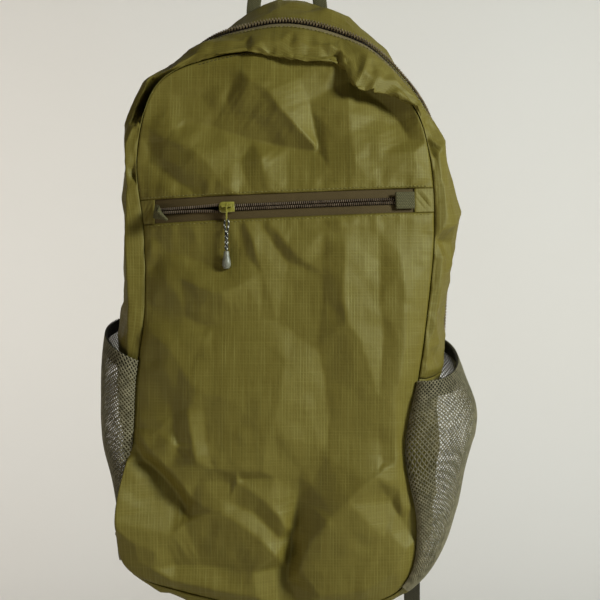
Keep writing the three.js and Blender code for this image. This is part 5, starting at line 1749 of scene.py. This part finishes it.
sliderShape = {
    "long": 11.0,
    "wide": 8.4,
    "narrow": 0.86,  # of the width, at the far end
    "gap": 0.17,
    "plate": 1.2,
    "nose": 3.0,
    "rim": 0.9,
    "raised": 0.25,
    "bridgeLong": 7.2,
    "bridgeBar": 1.2,
    "bridgeWide": 1.8,
    "bridgeRise": 4.0,
    "bridgeFoot": 1.3,
    "footSunk": 0.2,
}


def sliderPiece(name):
    s = sliderShape
    plate = startBox(name, (s["long"], s["plate"], s["wide"]), (0, -s["gap"] - s["plate"] / 2, 0))
    noseAt = -0.9 * s["long"] / 2 * mm
    pick(plate, "VERT", lambda co: co.x > 0)
    bpy.ops.transform.resize(value=(1, 1, s["narrow"]))
    pick(plate, "EDGE", lambda a, b: max(a.x, b.x) < noseAt and max(abs(a.z - b.z), abs(a.x - b.x)) < 1e-6)
    bpy.ops.mesh.bevel(offset=s["nose"] * mm, segments=6, affect="EDGES")
    pick(plate, "FACE", lambda co, no: no.y < -square)
    bpy.ops.mesh.inset(thickness=s["rim"] * mm, depth=0)
    bpy.ops.transform.translate(value=(0, -s["raised"] * mm, 0))
    roundEdges(plate, 0.25)
    barY = -s["gap"] - s["plate"] - s["bridgeRise"] + s["bridgeBar"] / 2
    bar = startBox("bridge", (s["bridgeLong"], s["bridgeBar"], s["bridgeWide"]), (0, barY, 0))
    half, foot = s["bridgeLong"] / 2 * mm, s["bridgeFoot"] * mm
    legLong = (s["bridgeRise"] - s["bridgeBar"] + s["footSunk"]) * mm
    for way in (-1, 1):
        pick(bar, "FACE", lambda co, no: no.x * way > square)
        bpy.ops.transform.translate(value=(-way * foot, 0, 0))
        pick(bar, "FACE", lambda co, no: no.x * way > square)
        bpy.ops.mesh.extrude_region_move(TRANSFORM_OT_translate={"value": (way * foot, 0, 0)})
        pick(bar, "FACE", lambda co, no: no.y > square and co.x * way > half - foot)
        bpy.ops.mesh.extrude_region_move(TRANSFORM_OT_translate={"value": (0, legLong, 0)})
    roundEdges(bar, 0.3)
    return joinPieces(plate, bar)


def buildPocketSlider():
    x, z = np.array(pocketZip["sliderX"]), np.array(zipHeight(pocketZip["sliderX"]))
    facing = frontFacing(x, z)
    climb = np.array([1.0, 0.0, pocketZip["climb"]])
    along = unit(climb - facing * (facing @ climb))
    slider = sliderPiece("pocket_zip_slider_body")
    seatPiece(slider, along, -facing, np.cross(along, -facing), onFront(x, z))
    finishPiece(slider, olivePaint, ["pocket_zip_slider"])


pullTab = {"round": 0.42, "rim": 0.8, "dish": 0.6, "edge": 0.18}


def buildPullTab():
    low, high = boxOf("pocket_pull_tab")
    size, middle = high - low, (low + high) / 2
    tab = startBox("pocket_pull_tab_plate", size, middle)
    pick(tab, "EDGE", lambda a, b: abs(a.x - b.x) > 0.5 * size[0] * mm)
    bpy.ops.mesh.bevel(offset=size[1] * pullTab["round"] * mm, segments=5, affect="EDGES")
    pick(tab, "FACE", lambda co, no: abs(no.x) > square)
    bpy.ops.mesh.inset(thickness=pullTab["rim"] * mm, depth=0)
    bpy.ops.transform.resize(value=(pullTab["dish"], 1, 1))
    roundEdges(tab, pullTab["edge"])
    seatPiece(tab)
    finishPiece(tab, olivePaint, ["pocket_pull_tab"])


pullEnd = {
    "long": 12.5,
    "belly": 3.1,
    "levels": [(-0.5, 0.62), (-0.3, 1.0), (-0.1, 0.96), (0.1, 0.8), (0.3, 0.64), (0.5, 0.58)],  # height, size
}


def buildPullEnd():
    low, high = boxOf("pocket_pull_end")
    long = pullEnd["long"] * mm
    centre = Vector((low + high) / 2 * mm)
    deselectAll()
    bpy.ops.mesh.primitive_cylinder_add(vertices=28, radius=pullEnd["belly"] * mm, depth=long, location=centre)
    end = bpy.context.object
    end.name = "pocket_pull_end_body"
    bpy.ops.object.transform_apply(location=True, rotation=True, scale=True)
    for share, _ in pullEnd["levels"][1:-1]:
        editAll()
        bpy.ops.mesh.bisect(plane_co=centre + Vector((0, 0, share * long)), plane_no=(0, 0, 1))
    for share, size in pullEnd["levels"]:
        z = centre.z + share * long
        pick(end, "VERT", lambda co: abs(co.z - z) < 0.3 * mm)
        bpy.ops.transform.resize(value=(size, size, 1), center_override=(centre.x, centre.y, z))
    roundEdges(end, 0.5, 3)
    seatPiece(end)
    finishPiece(end, greyPlastic, ["pocket_pull_end"])
    return end


mainTab = {
    "size": (16, 1.4, 5),
    "ahead": 7,
    "sunk": 0.7,
    "corner": 1.6,
    "rim": 0.9,
    "dish": 0.2,
    "edge": 0.2,
    "hang": -0.2,  # radians
}


def buildMainSlider():
    station = np.array(mainZip["slider"])
    place, facing = onMainZip(station, 0.0)
    below, _ = onMainZip(station, 0.0, -0.1)
    down = unit(below - place)
    inwards = unit(-facing + down * (facing @ down))
    slider = sliderPiece("main_zip_slider_body")
    s = sliderShape
    top = -s["gap"] - s["plate"] - s["bridgeRise"] + mainTab["sunk"]
    tab = startBox("tab", mainTab["size"], (s["bridgeLong"] / 2 + mainTab["ahead"], top, 0))
    pick(tab, "EDGE", lambda a, b: abs(a.y - b.y) > mm)
    bpy.ops.mesh.bevel(offset=mainTab["corner"] * mm, segments=4, affect="EDGES")
    pick(tab, "FACE", lambda co, no: abs(no.y) > square)
    bpy.ops.mesh.inset(thickness=mainTab["rim"] * mm, depth=-mainTab["dish"] * mm)
    roundEdges(tab, mainTab["edge"])
    editAll()
    pivot = (s["bridgeLong"] / 2 * mm, top * mm, 0)
    bpy.ops.transform.rotate(value=mainTab["hang"], orient_axis="Z", center_override=pivot)
    bpy.ops.object.mode_set(mode="OBJECT")
    slider = joinPieces(slider, tab)
    seatPiece(slider, down, inwards, np.cross(down, inwards), place)
    finishPiece(slider, olivePaint, ["main_zip_slider"])


def buildLadderLock(side, way):
    lock = ladderLock
    high = 3 * lock["bar"] + 2 * lock["slotHigh"]
    piece = startBox("ladder_lock_frame_" + side, (lock["wide"], lock["thick"], high))
    bar, wide = lock["bar"] / 2, lock["slotWide"] / 2
    cuts = [((0, 0, 1), v) for v in (-bar - lock["slotHigh"], -bar, bar, bar + lock["slotHigh"])]
    cuts += [((1, 0, 0), v) for v in (-wide, wide)]
    for normal, offset in cuts:
        editAll()
        bpy.ops.mesh.bisect(plane_co=[n * offset * mm for n in normal], plane_no=normal)
    slot = (lock["bar"] + lock["slotHigh"]) / 2 * mm
    near = 0.01  # more than the rounding of a place
    for up in (-1, 1):

        def inSlot(co, more):
            reach = (wide + more) * mm, (lock["slotHigh"] / 2 + more) * mm
            return abs(co.x) < reach[0] and abs(co.z - up * slot) < reach[1]

        pick(piece, "FACE", lambda co, no: abs(no.y) > square and inSlot(co, 0))
        bpy.ops.mesh.delete(type="FACE")
        pick(piece, "EDGE", lambda a, b: inSlot(a, near) and inSlot(b, near) and abs(a.y - b.y) < 1e-6)
        bpy.ops.mesh.bridge_edge_loops()
    corner = (lock["wide"] / 2 - near) * mm, (high / 2 - near) * mm
    pick(piece, "EDGE", lambda a, b: abs(a.y - b.y) > mm and abs(a.x) > corner[0] and abs(a.z) > corner[1])
    bpy.ops.mesh.bevel(offset=lock["corner"] * mm, segments=4, affect="EDGES")
    roundEdges(piece, lock["edge"])
    seatPiece(piece, place=(way * lock["x"], lock["y"], lock["z"]))
    finishPiece(piece, darkPlastic, ["ladder_lock_" + side])


buildPocketSlider()
buildPullTab()
endPiece = buildPullEnd()
buildMainSlider()
for strapSide, strapWay in (("right", 1), ("left", -1)):
    buildStrapPad(strapSide, strapWay)
    buildStrapWebbing(strapSide, strapWay)
    buildLadderLock(strapSide, strapWay)
print("straps and hard pieces made")

# The flat size of each sheet
for sheet in sheets:
    wide, long = (round(v * 1000) for v in sheet["flat"])
    print("sheet", sheet["piece"].name, wide, "by", long, "mm")

# Stage and light: pale room, with a large soft window high on the right
stage = {
    "floor": -0.86,
    "front": -3.0,
    "wall": 1.7,
    "top": 2.6,
    "wide": 6.0,
    "turn": 0.5,  # radius between floor and wall
    "colours": (srgb(214, 211, 206), srgb(208, 202, 194)),
}


def buildStage():
    material, tree, shader, coords = startMaterial("paleWall", {"Roughness": 0.9})
    uneven = placeGroup(tree, unevenness, {"Vector": coords["Object"], "Size": 0.6})
    share = remap(tree, uneven["Broad"], 0.3, 0.7, 0.0, 0.25)
    feed(tree, shader, {"Base Color": blendColours(tree, share, *stage["colours"])})
    radius, middle = stage["turn"], (stage["wall"] - stage["turn"], stage["floor"] + stage["turn"])
    angles = np.linspace(0, math.pi / 2, 13)
    turn = [(middle[0] + radius * math.sin(a), middle[1] - radius * math.cos(a)) for a in angles]
    profile = [(stage["front"], stage["floor"]), *turn, (stage["wall"], stage["top"])]
    half = stage["wide"] / 2
    verts = [(x, y, z) for x in (-half, half) for y, z in profile]
    count = len(profile)
    faces = [(k, k + count, k + count + 1, k + 1) for k in range(count - 1)]
    mesh = bpy.data.meshes.new("backdrop")
    mesh.from_pydata(verts, [], faces)
    mesh.polygons.foreach_set("use_smooth", [True] * len(faces))
    backdrop = bpy.data.objects.new("backdrop", mesh)
    bpy.context.scene.collection.objects.link(backdrop)
    mesh.materials.append(material)


lamps = [  # name, place, aim, size, power, colour
    ("window", (1.85, -1.2, 0.65), (0, -0.05, -0.28), 0.65, 68, (0.91, 1.0, 0.95)),
    ("leftWall", (-1.5, -1.1, -0.7), (0, -0.05, -0.35), 0.9, 9, (1.0, 0.94, 0.8)),
    ("floorBounce", (0.3, -1.5, -1.3), (0, -0.05, -0.4), 1.2, 13, (1.0, 0.95, 0.82)),
    ("wallRight", (1.1, 0.4, 0.0), (0.9, 1.7, -0.1), 1.2, 6, (1.0, 0.97, 1.0)),
    ("wallLeft", (-1.1, 0.4, 0.0), (-0.9, 1.7, -0.1), 1.2, 11, (1.0, 0.92, 0.88)),
]
roomLight = {"Color": (0.96, 0.97, 1.0, 1.0), "Strength": 0.06}


def buildLights():
    for name, place, aim, size, power, colour in lamps:
        light = bpy.data.lights.new(name, "AREA")
        light.energy = power
        light.size = size
        light.color = colour
        piece = bpy.data.objects.new(name, light)
        piece.location = place
        piece.rotation_euler = (Vector(aim) - Vector(place)).to_track_quat("-Z", "Y").to_euler()
        bpy.context.scene.collection.objects.link(piece)
    world = bpy.data.worlds.new("paleRoom")
    world.use_nodes = True
    feed(world.node_tree, world.node_tree.nodes["Background"], roomLight)
    bpy.context.scene.world = world
    bpy.context.scene.view_settings.view_transform = "Standard"


buildStage()
buildLights()
print("stage and light made")
